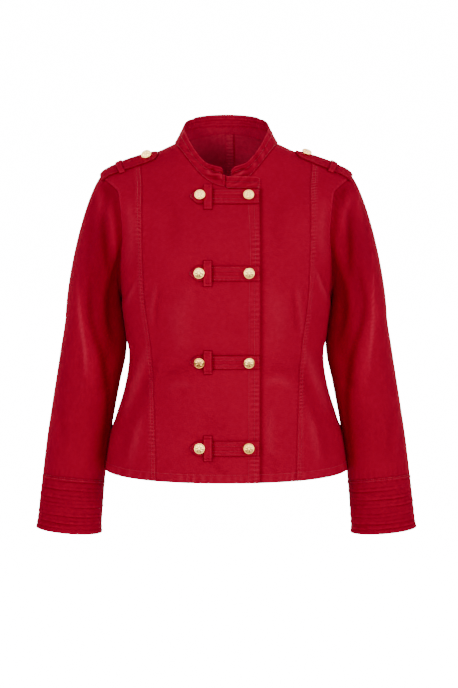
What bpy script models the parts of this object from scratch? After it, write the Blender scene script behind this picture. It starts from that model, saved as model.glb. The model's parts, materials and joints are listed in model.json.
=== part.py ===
"""A fitted military-style jacket in red cotton twill, hollow, in the pose it has when it is worn.

The opening is straight, with four horizontal tabs that pass through upright keeper loops, gold
shank buttons, a stand collar with a stepped front extension, epaulettes, shoulder princess seams
and long sleeves with tucked cuffs.

Every size is in millimetres, and add_object turns it into metres. +X is the wearer's left, -Y the
front and +Z up. The origin lies at the base of the neck, midway between the two points where the
shoulder seams meet the collar, because the jacket hangs from the shoulders there.
"""
import math

import bpy
import numpy as np

# ---------------------------------------------------------------- driving sizes
MILLIMETRE = 0.001
CLOTH = 1.8             # the twill and the allowances turned in behind it
DOUBLE = 2.0            # two layers stitched together: collar, tabs, loops, epaulettes
GAP = 0.3               # between two pieces at a seam
LAY = 0.7               # between a piece and what it lies on, because both are faceted
LAP = 2.8               # the wearer's right front lies this far out where it laps the left one

LAP_EDGE_X = 54.5       # edge of the right front, on top
UNDER_EDGE_X = -50.0    # edge of the left front, beneath
LAP_TOP_Z = -72.5       # level top of the lap, where the collar's extension starts

TAB_ROWS_Z = (-86.0, -205.8, -351.0, -490.8)
TAB_HEIGHT = 25.0
TAB_TIP_X = -58.0
TAB_END_X = 53.5
TAB_POINT = 13.0        # length of the tapered tip
TAB_TIP_ROW = 0.4       # share of the tip at which it has a row of points
TAB_BLUNT = 0.35        # the taper would end this share of the tip's length beyond it
LOOP_X = (-36.5, -22.0)
LOOP_HEIGHT = 42.0
LOOP_SLACK = 1.2        # a loop passes this far beyond its tab's edges
LOOP_DROP = 2.6         # and comes down to the cloth within this
LOOP_SEWN = 3.5         # length sewn down at each end
LOOP_THICKNESS = 1.6
BUTTON_X = (-42.0, 35.8)

RED = (0.352, 0.002, 0.014, 1.0)
GOLD = (0.62, 0.50, 0.27, 1.0)

# ---------------------------------------------------------------- the form of the body
# One ring round the body for each level, from the hem up. A ring crosses the centre front, the
# side (above the armhole: the shoulder seam) and the centre back at three heights. bow is 1 for
# an ellipse and less for a squarer ring; fall says how soon the ring drops away from its side.
TORSO = np.array([
    # level  z_front z_side z_back  half_width front back  bow   fall
    (0.0,    -547,   -547,  -547,   204.0,     156,  127,  0.88, 1.30),   # hem
    (1.0,    -478,   -478,  -478,   191.5,     147,  118,  0.88, 1.30),   # hip
    (2.0,    -414,   -414,  -414,   172.0,     133,  106,  0.89, 1.30),   # below the waist
    (3.0,    -360,   -360,  -360,   163.2,     126,   99,  0.90, 1.30),   # waist
    (4.0,    -308,   -308,  -308,   167.3,     136,  105,  0.89, 1.30),   # under the bust
    (5.0,    -258,   -258,  -258,   174.0,     149,  111,  0.87, 1.30),   # foot of the armholes
    (6.0,    -170,   -160,  -170,   187.0,     141,  113,  0.90, 1.30),   # chest
    (7.0,    -122,    -53,  -112,   210.0,     120,   99,  1.04, 1.25),   # tips of the shoulders
    (7.5,    -109,    -35,   -88,   184.0,     111,   90,  1.02, 1.25),
    (8.0,     -97,    -22,   -58,   150.0,     103,   80,  1.00, 1.30),   # half way to the neck
    (8.5,     -84,    -13,   -22,   117.0,      95,   70,  1.00, 1.85),
    (9.0,     -70,      1,    19,    86.0,      88,   60,  1.00, 2.60),   # neck seam
])
HEM, ARMHOLE_FOOT, SHOULDER_TIP, NECK = 0.0, 5.0, 7.0, 9.0

# The two halves of the armhole, from the tip of the shoulder round to its foot. turn is the angle
# round the body: 0 at the centre front, 90 at the side and 180 at the centre back.
ARMHOLE_FRONT = np.array([
    # step turn   level
    (0,    90.0,  7.00),
    (1,    78.0,  7.09),
    (2,    67.5,  7.14),
    (3,    59.5,  7.08),
    (4,    55.5,  6.80),
    (5,    57.0,  6.45),
    (6,    62.5,  6.10),
    (7,    70.0,  5.74),
    (8,    79.0,  5.32),
    (9,    90.0,  5.00),
])
ARMHOLE_BACK = np.array([
    # step turn   level
    (0,    90.0,  7.00),
    (1,    99.4,  7.05),
    (2,    108.7, 7.02),
    (3,    115.5, 6.82),
    (4,    117.2, 6.45),
    (5,    115.9, 6.05),
    (6,    113.0, 5.65),
    (7,    107.0, 5.30),
    (8,    99.4,  5.08),
    (9,    90.0,  5.00),
])

# The shoulder princess seam, as its distance from the middle at each height.
PRINCESS = np.array([
    # z      x
    (-547.0, 114.0),
    (-480.0, 115.5),
    (-416.0, 118.0),
    (-360.0, 121.0),
    (-320.0, 124.0),
    (-285.0, 128.5),
    (-250.0, 132.5),
    (-200.0, 135.0),
    (-120.0, 137.0),
    (-70.0,  138.0),
])
PRINCESS_TOP_X = 145.0  # where the seam reaches the shoulder seam

# The free top edge of the collar, and the neck-to-top run of its height.
COLLAR_TOP = np.array([
    # turn  half_width  depth   z
    (0.0,    69.0,      -77.0, -37.0),
    (11.0,   69.0,      -77.0, -35.0),
    (29.0,   69.5,      -76.0, -28.0),
    (45.0,   70.0,      -74.0, -11.5),
    (62.0,   70.0,      -70.0,   9.0),
    (90.0,   69.5,      -62.0,  29.0),
    (107.0,  69.5,       57.0,  38.0),
    (133.0,  70.0,       56.0,  46.5),
    (156.0,  70.0,       56.0,  50.5),
    (180.0,  70.0,       56.0,  52.0),
])
COLLAR_THICKNESS = 2.2
COLLAR_LEFT_END = 5.0        # turn at which the collar starts on the wearer's left
COLLAR_STEP = 5.0            # turn, on the wearer's right, at which it steps down
COLLAR_ROWS = (0.0, 0.18, 0.62, 1.0)    # shares of its height
CORNER_HEIGHT = 0.93         # share of the height that is left at a rounded corner
STEP_FOOT = (-4.0, 0.66)     # turn at which the step ends, and the share of the height there
EXTENSION_START = 0.62       # share of the collar's height with which the extension starts
EXTENSION_HEIGHT = 21.5
EXTENSION_LEAN = (13.0, 25.0)   # degrees from upright: at the middle and at the lapped edge

# The sleeve's axis and cross-section below the armhole, for the wearer's left arm.
SLEEVE = np.array([
    # z       x      y      half_width half_depth
    (-292.0,  222.6,   2.0, 48.6,      60.0),    # biceps
    (-335.0,  224.3,   3.0, 53.5,      61.0),
    (-390.0,  234.2,   2.0, 52.5,      60.5),
    (-450.0,  244.6,  -3.0, 51.7,      58.0),    # elbow
    (-505.0,  253.1, -11.0, 51.3,      53.5),
    (-560.0,  259.4, -20.0, 51.3,      48.0),    # top of the cuff
    (-595.0,  262.9, -24.0, 51.9,      44.0),
    (-627.0,  265.9, -25.6, 52.6,      41.5),
    (-638.0,  266.9, -25.9, 52.9,      41.0),
    (-650.5,  268.0, -26.1, 54.4,      42.0),    # hem of the sleeve
])
BICEPS_Z, CUFF_TOP_Z, CUFF_HEM_Z = -292.0, -560.0, -650.5

# How the sleeve head leaves the armhole (reach, slope below level) and how far up it is already
# parallel to the arm, at the shoulder tip, at the front and back, and under the arm.
SLEEVE_HEAD = np.array([
    # turn   reach  slope  run_in
    (0.0,    40.0,  52.0,   80.0),
    (90.0,   26.0,  44.0,   52.0),
    (135.0,  16.0,  38.0,   26.0),
    (180.0,  12.0,  38.0,   10.0),
])
SLEEVE_HEAD_ROWS = np.array([0.0, 0.11, 0.25, 0.41, 0.6, 0.8, 1.0])
UNDERARM_TURN = (90.0, 165.0)   # between these the seam turns to face the arm's inside
UNDERARM_RISE = 0.6             # how steeply the sleeve climbs before it turns down

# Soft folds of the sleeve: angle round the sleeve (0 outside, 90 front), span down it, width in
# degrees and depth (negative is a trough).
SLEEVE_FOLDS = (
    # angle  z_top   z_foot  width  depth
    (128.0,  -130.0, -400.0, 15.0,  -5.0),
    (100.0,  -150.0, -330.0, 13.0,   3.0),
    (72.0,   -170.0, -400.0, 14.0,  -3.0),
    (235.0,  -140.0, -390.0, 16.0,  -4.0),
    (275.0,  -160.0, -360.0, 15.0,   2.5),
)

TUCKS = (6.5, 20.5, 34.0, 46.0, 61.5, 73.5, 82.0)   # how far below the top of the cuff each is
TUCK_RISE = 1.3
TUCK_SLOPE = 5.0        # length over which a tuck rises
TUCK_LEDGE = 1.2        # length over which it drops back
CUFF_RELIEF = (0.0, 0.2, 0.4)   # relief at the seam, before each tuck and at the hem
CUFF_INNER_ROWS = [0, 9, 17, 21, 22]    # the outer rows that the plain inside repeats

# The strap on the shoulder, from its end at the armhole to its point near the collar.
EPAULETTE_OUTER_LEVEL, EPAULETTE_TIP_LEVEL = 7.03, 8.53
EPAULETTE_HALF_WIDTH = (20.0, 18.5)   # at the armhole and before the point
EPAULETTE_FORWARD = {                 # how far its middle lies in front of the shoulder seam
    # side: (at the armhole, at the point)
    -1: (7.0, 18.0),
    1: (8.0, 9.0),
}
EPAULETTE_LAY = 1.1                   # between the strap and the shoulder beneath it
EPAULETTE_POINT = 0.11                # share of its length in which it narrows to the point
EPAULETTE_BLUNT = 0.30                # share of its width that the point keeps
EPAULETTE_LOOP_AT = (0.315, 0.42)     # share of its length from the armhole
EPAULETTE_LOOP_FOOT = (2.6, 5.0, 9.0)   # its foot: from where it has come down to its end
EPAULETTE_COLUMNS = (-1.0, -0.7, -0.4, -0.1, 0.2, 0.6, 1.0)
EPAULETTE_ROWS_OUTER = (0.0, 0.10, 0.21)    # shares of its length before the loop, and after it
EPAULETTE_ROWS = (0.51, 0.60, 0.69, 0.78, 0.84, 0.89, 0.93, 0.965, 0.988, 1.0)
EPAULETTE_WALK = 24                     # steps in which its width is walked over the shoulder
EPAULETTE_BUTTON_AT = 0.82
EPAULETTE_BUTTON_FORWARD = 3.0
EPAULETTE_BUTTON_TILT = 25.0            # it hangs forward on its shank, in degrees
EPAULETTE_BUTTON_SHANK = 1.0            # so its foot stands this much higher

# ---------------------------------------------------------------- how finely it is divided
LOW_ROWS = 12           # from the hem to the foot of the armhole
HIGH_ROWS = 12          # from there to the top; also half the columns of a sleeve
NECK_TURNS = (0.0, 5.0, 16.0, 29.0, 43.0, 58.0, 73.0, 90.0)
BACK_NECK_COLUMNS = 6
CENTRE_SHOULDER_COLUMNS = 2
SIDE_COLUMNS = 5
LAP_COLUMNS = 3
TAB_COLUMNS = 8
SLEEVE_ROWS_ARM = 8


def read(table, key):
    """Read the columns of a table at key, its first column, along smooth curves."""
    key = np.asarray(key, float)
    keys, values = table[:, 0], table[:, 1:]
    steps = np.diff(keys)[:, None]
    slopes = np.diff(values, axis=0) / steps
    middle = (slopes[:-1] * steps[1:] + slopes[1:] * steps[:-1]) / (steps[:-1] + steps[1:])
    tangents = np.vstack([slopes[:1], middle, slopes[-1:]])
    row = np.clip(np.searchsorted(keys, key, side="right") - 1, 0, len(steps) - 1)
    step = steps[row]
    f = ((key - keys[row]) / steps[row, 0])[..., None]
    return (values[row] * (2 * f**3 - 3 * f**2 + 1) + tangents[row] * step * (f**3 - 2 * f**2 + f)
            + values[row + 1] * (3 * f**2 - 2 * f**3) + tangents[row + 1] * step * (f**3 - f**2))


def ease(value, start, end):
    """0 before start, 1 after end, and a smooth step between."""
    f = np.clip((np.asarray(value, float) - start) / (end - start), 0.0, 1.0)
    return f * f * (3 - 2 * f)


def unit(vectors):
    return vectors / np.linalg.norm(vectors, axis=-1, keepdims=True)


def body_point(turn, level):
    """The inner face of the cloth, for a turn round the body in degrees (+ is the left side)."""
    turn, level = np.broadcast_arrays(np.asarray(turn, float), np.asarray(level, float))
    z_front, z_side, z_back, half_width, front, back, bow, fall = np.moveaxis(
        read(TORSO, level), -1, 0)
    sine, cosine = np.sin(np.radians(turn)), np.cos(np.radians(turn))
    in_front = cosine > 0
    x = half_width * np.sign(sine) * np.abs(sine)**bow
    y = np.where(in_front, -front, back) * np.abs(cosine)**bow
    z = z_side + (np.where(in_front, z_front, z_back) - z_side) * np.abs(cosine)**fall
    return np.stack([x, y, z], axis=-1)


def body_normal(turn, level):
    """Unit vectors out of the cloth at the same places."""
    turn, level = np.asarray(turn, float), np.asarray(level, float)
    round_body = body_point(turn + 0.3, level) - body_point(turn - 0.3, level)
    up_body = body_point(turn, level + 0.01) - body_point(turn, level - 0.01)
    return unit(np.cross(round_body, up_body))


def on_front(x, z):
    """The turn and level of the points of the front that lie at x and z."""
    x, z = np.broadcast_arrays(np.asarray(x, float), np.asarray(z, float))
    level = np.interp(z, TORSO[:, 1], TORSO[:, 0])
    turn = np.zeros_like(level)
    for _ in range(40):
        ring = read(TORSO, level)
        share = np.clip(np.abs(x) / ring[..., 3], 0.0, 0.9999)**(1 / ring[..., 6])
        turn = np.degrees(np.arcsin(share)) * np.sign(x)
        here = body_point(turn, level)[..., 2]
        above = body_point(turn, level + 0.02)[..., 2]
        level = level + 0.8 * (z - here) / np.maximum((above - here) / 0.02, 10.0)
    return turn, level


def lap_lift(points):
    """How far the right front stands off the body so that it clears the left front beneath."""
    x, y, z = np.moveaxis(points, -1, 0)
    over_front = ease(x, -132.0, -56.0) * (1 - ease(z, -70.0, -44.0))
    at_neck = ease(x, -40.0, -6.0) * (y < 0)
    return LAP * (over_front + at_neck - over_front * at_neck)


# ---------------------------------------------------------------- making closed solids
def material(name, colour, roughness, metallic):
    made = bpy.data.materials.new(name)
    made.use_nodes = True
    shader = made.node_tree.nodes["Principled BSDF"]
    shader.inputs["Base Color"].default_value = colour
    shader.inputs["Roughness"].default_value = roughness
    shader.inputs["Metallic"].default_value = metallic
    return made


def volume(points, faces):
    """Six times the signed volume inside the faces: positive when they point outwards."""
    total = 0.0
    for face in faces:
        for second, third in zip(face[1:-1], face[2:]):
            total += np.dot(points[face[0]], np.cross(points[second], points[third]))
    return total


def add_object(name, points, faces, finish):
    """One closed solid, from points in millimetres, with its faces turned outwards."""
    points = np.asarray(points)
    if volume(points, faces) < 0:
        faces = [face[::-1] for face in faces]
    mesh = bpy.data.meshes.new(name)
    mesh.from_pydata([tuple(p) for p in points * MILLIMETRE], [], faces)
    mesh.validate()
    mesh.materials.append(finish)
    mesh.shade_smooth()
    mesh.set_sharp_from_angle(angle=math.radians(40))
    made = bpy.data.objects.new(name, mesh)
    bpy.context.scene.collection.objects.link(made)
    return made


def add_wall(name, inner, outer, finish, around=False):
    """A cloth wall between two grids of points (rows, columns); around closes it to a tube.

    The grids have the same columns. Only those of a tube may differ in their rows."""
    inner, outer = np.asarray(inner), np.asarray(outer)
    columns = inner.shape[1]
    rows = (inner.shape[0], outer.shape[0])
    starts = (0, rows[0] * columns)

    def at(skin, row, column):
        return starts[skin] + (row % rows[skin]) * columns + column % columns

    spans = columns if around else columns - 1
    faces = []
    for skin in (0, 1):
        for row in range(rows[skin] - 1):
            for column in range(spans):
                corners = [at(skin, row, column), at(skin, row, column + 1),
                           at(skin, row + 1, column + 1), at(skin, row + 1, column)]
                for half in (corners[:3], [corners[0]] + corners[2:]):
                    faces.append(half if skin else half[::-1])
    for row, (near, far) in ((0, (0, 1)), (-1, (1, 0))):
        for column in range(spans):
            faces.append([at(near, row, column), at(near, row, column + 1),
                          at(far, row, column + 1), at(far, row, column)])
    if not around:
        for column, (near, far) in ((0, (1, 0)), (columns - 1, (0, 1))):
            for row in range(rows[0] - 1):
                faces.append([at(near, row, column), at(near, row + 1, column),
                              at(far, row + 1, column), at(far, row, column)])
    return add_object(name, np.vstack([inner.reshape(-1, 3), outer.reshape(-1, 3)]), faces, finish)


def pull_in(points, edges, amount=GAP / 2):
    """Draw the border points of a grid inwards, to leave half the seam gap at each named edge."""
    moved = points.copy()
    places = {"first row": (np.s_[0], np.s_[1]), "last row": (np.s_[-1], np.s_[-2]),
              "first column": (np.s_[:, 0], np.s_[:, 1]),
              "last column": (np.s_[:, -1], np.s_[:, -2])}
    for edge in edges:
        border, beside = places[edge]
        moved[border] += unit(points[beside] - points[border]) * amount
    return moved


# ---------------------------------------------------------------- seam lines
def even_steps(turns, levels, count):
    """The same line in count steps of equal length on the body."""
    points = body_point(turns, levels)
    run = np.concatenate([[0], np.cumsum(np.linalg.norm(np.diff(points, axis=0), axis=1))])
    wanted = np.linspace(0, run[-1], count + 1)
    return np.interp(wanted, run, turns), np.interp(wanted, run, levels)


def armhole(front):
    """Turn and level of half an armhole, from its foot up to the tip of the shoulder."""
    table = ARMHOLE_FRONT if front else ARMHOLE_BACK
    turn, level = np.moveaxis(read(table, np.linspace(9, 0, 400)), -1, 0)
    return even_steps(turn, level, HIGH_ROWS)


def low_levels():
    return np.linspace(HEM, ARMHOLE_FOOT, LOW_ROWS + 1)


def princess_low(levels):
    """Turn of the princess seam at levels below the armhole, where every ring is level."""
    ring = read(TORSO, levels)
    x = read(PRINCESS, ring[:, 0])[:, 0]
    return np.degrees(np.arcsin((x / ring[:, 3])**(1 / ring[:, 6])))


def princess_high():
    """Turn and level of the princess seam from the armhole's foot to the shoulder seam."""
    z = np.linspace(TORSO[5, 1], PRINCESS[-1, 0], 60)
    turn, level = on_front(read(PRINCESS, z)[:, 0], z)
    over_turn = np.linspace(turn[-1], 90.0, 40)[1:]
    over_x = np.interp(over_turn, (turn[-1], 90.0), (PRINCESS[-1, 1], PRINCESS_TOP_X))
    over_level = [crossing_level(at, x) for at, x in zip(over_turn, over_x)]
    return even_steps(np.append(turn, over_turn), np.append(level, over_level), HIGH_ROWS)


def crossing_level(turn, x):
    """The level, on the shoulder, at which the body at that turn is x from the middle."""
    low, high = SHOULDER_TIP, NECK
    for _ in range(40):
        middle = (low + high) / 2
        if body_point(turn, middle)[0] > x:
            low = middle
        else:
            high = middle
    return (low + high) / 2


def princess_top():
    return crossing_level(90.0, PRINCESS_TOP_X)


def to_width(places):
    """Places of (turn, level) as (distance from the middle, level)."""
    x = body_point(places[..., 0], places[..., 1])[..., 0]
    return np.stack([x, places[..., 1]], axis=-1)


def from_width(places):
    """Such places on the front as (turn, level) again."""
    x, level = places[..., 0], places[..., 1]
    ring = read(TORSO, level)
    share = np.clip(np.abs(x) / ring[..., 3], 0.0, 1.0)**(1 / ring[..., 6])
    return np.stack([np.degrees(np.arcsin(share)) * np.sign(x), level], axis=-1)


def fill(bottom, top, left, right, across):
    """A grid of pairs that meets four border lines of pairs; across places its columns."""
    rise = np.linspace(0, 1, len(left))[:, None, None]
    along = np.asarray(across)[None, :, None]
    ruled = bottom[None] * (1 - rise) + top[None] * rise
    ruled = ruled + left[:, None] * (1 - along) + right[:, None] * along
    corners = ((bottom[0] * (1 - along) + bottom[-1] * along) * (1 - rise)
               + (top[0] * (1 - along) + top[-1] * along) * rise)
    return ruled - corners


def panel_grid(low_left, low_right, top, left, right, by_width=False):
    """Turns and levels of a panel: level rows up to the armhole's foot, then a filled patch.

    low_left and low_right are turns; top, left and right are lines of (turn, level). by_width
    fills the patch by distance from the middle, in which the princess seam runs straighter."""
    run = np.concatenate([[0], np.cumsum(np.linalg.norm(
        np.diff(body_point(top[:, 0], top[:, 1]), axis=0), axis=1))])
    across = run / run[-1]
    levels = low_levels()
    turns = low_left[:, None] * (1 - across) + low_right[:, None] * across
    low = np.stack([turns, np.broadcast_to(levels[:, None], turns.shape)], axis=-1)
    borders = (low[-1], top, left, right)
    if by_width:
        high = from_width(fill(*(to_width(border) for border in borders), across))
        high[:, 0], high[:, -1], high[-1] = left, right, top
    else:
        high = fill(*borders, across)
    return np.vstack([low, high[1:]])


def line(turns, levels):
    turns, levels = np.broadcast_arrays(np.asarray(turns, float), np.asarray(levels, float))
    return np.stack([turns, levels], axis=-1)


def neck_line():
    """The front neck seam, from the centre front to the shoulder seam."""
    return line(NECK_TURNS, NECK)


def centre_front_grid(side, edge_x):
    """The grid of one centre front, from its free edge (beyond the middle) to its princess seam."""
    edge = abs(edge_x)
    levels = low_levels()
    edge_low = -on_front(edge, read(TORSO, levels)[:, 0])[0]
    edge_high = line(*on_front(edge, np.linspace(TORSO[5, 1], LAP_TOP_Z, HIGH_ROWS + 1)))
    edge_high[:, 0] *= -1
    lap_x = np.linspace(edge, 0.0, LAP_COLUMNS + 1)[:-1]
    lap_top = line(*on_front(lap_x, np.full(LAP_COLUMNS, LAP_TOP_Z)))
    lap_top[:, 0] *= -1
    shoulder = line(90.0, np.linspace(NECK, princess_top(), CENTRE_SHOULDER_COLUMNS + 1))[1:]
    top = np.vstack([lap_top, neck_line(), shoulder])
    grid = panel_grid(edge_low, princess_low(levels), top, edge_high, line(*princess_high()),
                      by_width=True)
    grid[..., 0] *= side
    return grid


def side_front_grid(side):
    """The grid of one side front, from its princess seam to the side seam and armhole."""
    top = line(90.0, np.linspace(princess_top(), SHOULDER_TIP, SIDE_COLUMNS + 1))
    levels = low_levels()
    grid = panel_grid(princess_low(levels), np.full(len(levels), 90.0), top,
                      line(*princess_high()), line(*armhole(front=True)))
    grid[..., 0] *= side
    return grid


def back_grid(side):
    """The grid of one half of the back, from the centre back seam to the side."""
    levels = low_levels()
    shoulder = np.concatenate([
        np.linspace(NECK, princess_top(), CENTRE_SHOULDER_COLUMNS + 1)[1:],
        np.linspace(princess_top(), SHOULDER_TIP, SIDE_COLUMNS + 1)[1:]])
    neck = line(np.linspace(180.0, 90.0, BACK_NECK_COLUMNS + 1), NECK)
    top = np.vstack([neck, line(90.0, shoulder)])
    centre = line(180.0, np.linspace(ARMHOLE_FOOT, NECK, HIGH_ROWS + 1))
    grid = panel_grid(np.full(len(levels), 180.0), np.full(len(levels), 90.0), top,
                      centre, line(*armhole(front=False)))
    grid[..., 0] *= side
    return grid


def add_panel(name, grid, seams, finish, lifted=False):
    """A body panel on its grid of turns and levels."""
    points = body_point(grid[..., 0], grid[..., 1])
    normals = body_normal(grid[..., 0], grid[..., 1])
    base = lap_lift(points)[..., None] if lifted else 0.0
    inner = pull_in(points + normals * base, seams)
    outer = pull_in(points + normals * (base + CLOTH), seams)
    return add_wall(name, inner, outer, finish)


# ---------------------------------------------------------------- sleeves
def sleeve_section(z, side):
    """Centre, two cross axes and two half sizes of the sleeve where its axis is at height z."""
    z = np.asarray(z, float)
    table = SLEEVE[::-1]
    x, y, half_width, half_depth = np.moveaxis(read(table, z), -1, 0)
    step = 4.0
    ahead, behind = read(table, z - step), read(table, z + step)
    down = unit(np.stack([ahead[..., 0] - behind[..., 0], ahead[..., 1] - behind[..., 1],
                          np.full(z.shape, -2 * step)], axis=-1))
    forward = unit(np.array([0.0, -1.0, 0.0]) - down * (-down[..., 1:2]))
    outward = unit(np.cross(forward, down))
    centre = np.stack([x, y, z], axis=-1)
    flip = np.array([side, 1.0, 1.0])
    return centre * flip, outward * flip, forward * flip, half_width, half_depth, down * flip


def sleeve_rings(heights, angles, side):
    """Points of the sleeve below the armhole, for angles of 0 outside and 90 in front."""
    centre, outward, forward, half_width, half_depth, _ = sleeve_section(heights, side)
    cosine, sine = np.cos(np.radians(angles)), np.sin(np.radians(angles))
    return (centre[:, None] + outward[:, None] * (half_width[:, None] * cosine)[..., None]
            + forward[:, None] * (half_depth[:, None] * sine)[..., None])


def sleeve_angles():
    half = np.linspace(0.0, 180.0, HIGH_ROWS + 1)
    return np.concatenate([half[:-1], 180.0 + half[:-1]])


def armhole_loop(side):
    """Points, normals and outward directions round an armhole, to match sleeve_angles()."""
    front, back = armhole(front=True), armhole(front=False)
    turn = np.concatenate([front[0][::-1][:-1], back[0][:-1]]) * side
    level = np.concatenate([front[1][::-1][:-1], back[1][:-1]])
    points, normals = body_point(turn, level), body_normal(turn, level)
    tangents = unit(np.roll(points, -1, axis=0) - np.roll(points, 1, axis=0))
    into = unit(np.cross(normals, tangents))
    centre = points.mean(axis=0)
    toward = np.sign(np.sum(into * (centre - points), axis=1, keepdims=True))
    return points, normals, into * toward


def fold_offset(points, angles):
    """Depth of the sleeve's soft folds at points whose columns stand at angles."""
    offset = np.zeros(points.shape[:-1])
    for angle, z_top, z_foot, width, depth in SLEEVE_FOLDS:
        near = np.exp(-((np.asarray(angles) - angle) / width)**2)
        z = points[..., 2]
        span = ease(z, z_foot - 50.0, z_foot + 60.0) * (1 - ease(z, z_top - 50.0, z_top))
        offset += depth * near * span
    return offset


def surface_normals(points, outside):
    """Normals of a closed-round grid of points; outside is a point on the outer side of row 0."""
    along = np.gradient(points, axis=0)
    around = np.roll(points, -1, axis=1) - np.roll(points, 1, axis=1)
    normals = unit(np.cross(around, along))
    if np.dot(normals[-1, 0], outside - points[-1].mean(axis=0)) < 0:
        normals = -normals
    return normals


def sleeve_grid(side):
    """Inner points and normals of a sleeve, from the armhole seam to the cuff seam."""
    angles = sleeve_angles()
    start, body_normals, into = armhole_loop(side)
    landing = sleeve_rings(np.array([BICEPS_Z]), angles, side)[0]
    down = sleeve_section(np.array([BICEPS_Z]), side)[5][0]
    fold_angle = np.where(angles > 180, 360 - angles, angles)
    reach, slope, run_in = np.moveaxis(read(SLEEVE_HEAD, fold_angle), -1, 0)
    leave = np.stack([side * np.cos(np.radians(slope)), np.zeros_like(slope),
                      -np.sin(np.radians(slope))], axis=-1)
    under = ease(fold_angle, *UNDERARM_TURN)[:, None]
    sine, cosine = np.sin(under * math.pi / 2), np.cos(under * math.pi / 2)
    start = start + into * (GAP / 2 + CLOTH * sine)
    start_normals = body_normals * cosine - into * sine
    climb = body_normals * sine + into * (cosine + UNDERARM_RISE * sine)
    leave = unit(leave * (1 - under) + unit(climb) * under)
    first = start + leave * reach[:, None]
    second = landing - down * run_in[:, None]
    f = SLEEVE_HEAD_ROWS[:, None, None]
    head = (start * (1 - f)**3 + 3 * first * f * (1 - f)**2
            + 3 * second * f**2 * (1 - f) + landing * f**3)
    heights = np.linspace(BICEPS_Z, CUFF_TOP_Z, SLEEVE_ROWS_ARM + 1)[1:]
    points = np.vstack([head, sleeve_rings(heights, angles, side)])
    outside = points[-1].mean(axis=0) + np.array([side * 500.0, 0.0, 0.0])
    normals = surface_normals(points, outside)
    away_from_seam = ease(np.arange(len(points)), 0.0, 3.0)[:, None]
    points = points + normals * (fold_offset(points, angles) * away_from_seam)[..., None]
    normals[0] = start_normals
    return points, normals


def add_sleeve(name, side, finish):
    points, normals = sleeve_grid(side)
    points = pull_in(points, ["last row"])
    return add_wall(name, points, points + normals * CLOTH, finish, around=True)


def cuff_profile():
    """Distance below the cuff seam and height of the relief, row by row, for the tucks."""
    at_seam, before_tuck, at_hem = CUFF_RELIEF
    rows = [(0.0, at_seam)]
    for crest in TUCKS:
        rows += [(crest - TUCK_SLOPE, before_tuck), (crest, TUCK_RISE), (crest + TUCK_LEDGE, 0.0)]
    rows.append((CUFF_TOP_Z - CUFF_HEM_Z, at_hem))
    return np.array(rows)


def add_cuff(name, side, finish):
    """The cuff: plain inside, with its tucks raised in the outer points."""
    angles = sleeve_angles()
    below, relief = cuff_profile().T
    points = sleeve_rings(CUFF_TOP_Z - below, angles, side)
    outside = points[-1].mean(axis=0) + np.array([side * 500.0, 0.0, 0.0])
    normals = surface_normals(points, outside)
    points = pull_in(points, ["first row"])
    outer = points + normals * (CLOTH + relief)[:, None, None]
    return add_wall(name, points[CUFF_INNER_ROWS], outer, finish, around=True)


# ---------------------------------------------------------------- collar
def collar_column(turn, share, lift):
    """Points of the collar above the neck seam at one turn, for shares of its height."""
    seam = body_point(turn, NECK) + body_normal(turn, NECK) * lift
    half_width, depth, z = read(COLLAR_TOP, abs(turn))
    sine, cosine = math.sin(math.radians(turn)), math.cos(math.radians(turn))
    top = np.array([half_width * sine, abs(depth) * -cosine, z])
    top[1] -= lift
    share = np.asarray(share)[:, None]
    return seam * (1 - share) + top * share


def extension_column(x, share, height):
    """Points of the collar's front extension, which stands on the lap's level top."""
    turn, level = on_front(x, LAP_TOP_Z)
    seam = body_point(turn, level)
    seam = seam + body_normal(turn, level) * LAP
    lean = math.radians(np.interp(x, (0.0, LAP_EDGE_X), EXTENSION_LEAN))
    run = np.asarray(share)[:, None] * height
    return seam + run * np.array([0.0, math.sin(lean), math.cos(lean)])


def add_collar(name, finish):
    """One band from the wearer's left front round the back to the stepped right front."""
    share = np.array(COLLAR_ROWS)
    columns, seams = [], []
    left = [turn for turn in NECK_TURNS if turn >= COLLAR_LEFT_END]
    back = list(np.linspace(90.0, 180.0, BACK_NECK_COLUMNS + 1))[1:]
    back_right = [-turn for turn in reversed(back[:-1])]
    right = [-turn for turn in reversed(NECK_TURNS) if turn >= COLLAR_STEP]
    for turn in left + back + back_right + right:
        height = CORNER_HEIGHT if turn in (COLLAR_LEFT_END, -COLLAR_STEP) else 1.0
        lift = float(lap_lift(body_point(turn, NECK))) if turn < 0 else 0.0
        columns.append(collar_column(turn, share * height, lift))
        seams.append((turn, NECK, lift))
    step_turn, step_height = STEP_FOOT
    lift = float(lap_lift(body_point(step_turn, NECK)))
    columns.append(collar_column(step_turn, share * step_height, lift))
    seams.append((step_turn, NECK, lift))
    for x in np.linspace(0.0, LAP_EDGE_X, LAP_COLUMNS + 1):
        height = EXTENSION_HEIGHT * (CORNER_HEIGHT if x == LAP_EDGE_X else 1.0)
        if x == 0.0:
            columns.append(collar_column(0.0, share * EXTENSION_START, LAP))
            seams.append((0.0, NECK, LAP))
            continue
        columns.append(extension_column(x, share, height))
        turn, level = on_front(x, LAP_TOP_Z)
        seams.append((float(turn), float(level), LAP))
    inner = np.stack(columns, axis=1)
    along = np.gradient(inner, axis=1)
    up = np.gradient(inner, axis=0)
    normals = unit(np.cross(along, up))
    turns, levels, lifts = np.array(seams).T
    seam_normals = body_normal(turns, levels)
    outward = np.sign(np.sum(normals[1] * seam_normals, axis=1))
    if outward.sum() < 0:
        normals = -normals
    body_up = unit(body_point(turns, levels + 0.05) - body_point(turns, levels - 0.05))
    inner[0] = body_point(turns, levels) + seam_normals * lifts[:, None] + body_up * GAP
    outer = inner + normals * COLLAR_THICKNESS
    outer[0] = inner[0] + seam_normals * CLOTH
    return add_wall(name, inner, outer, finish)


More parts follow.
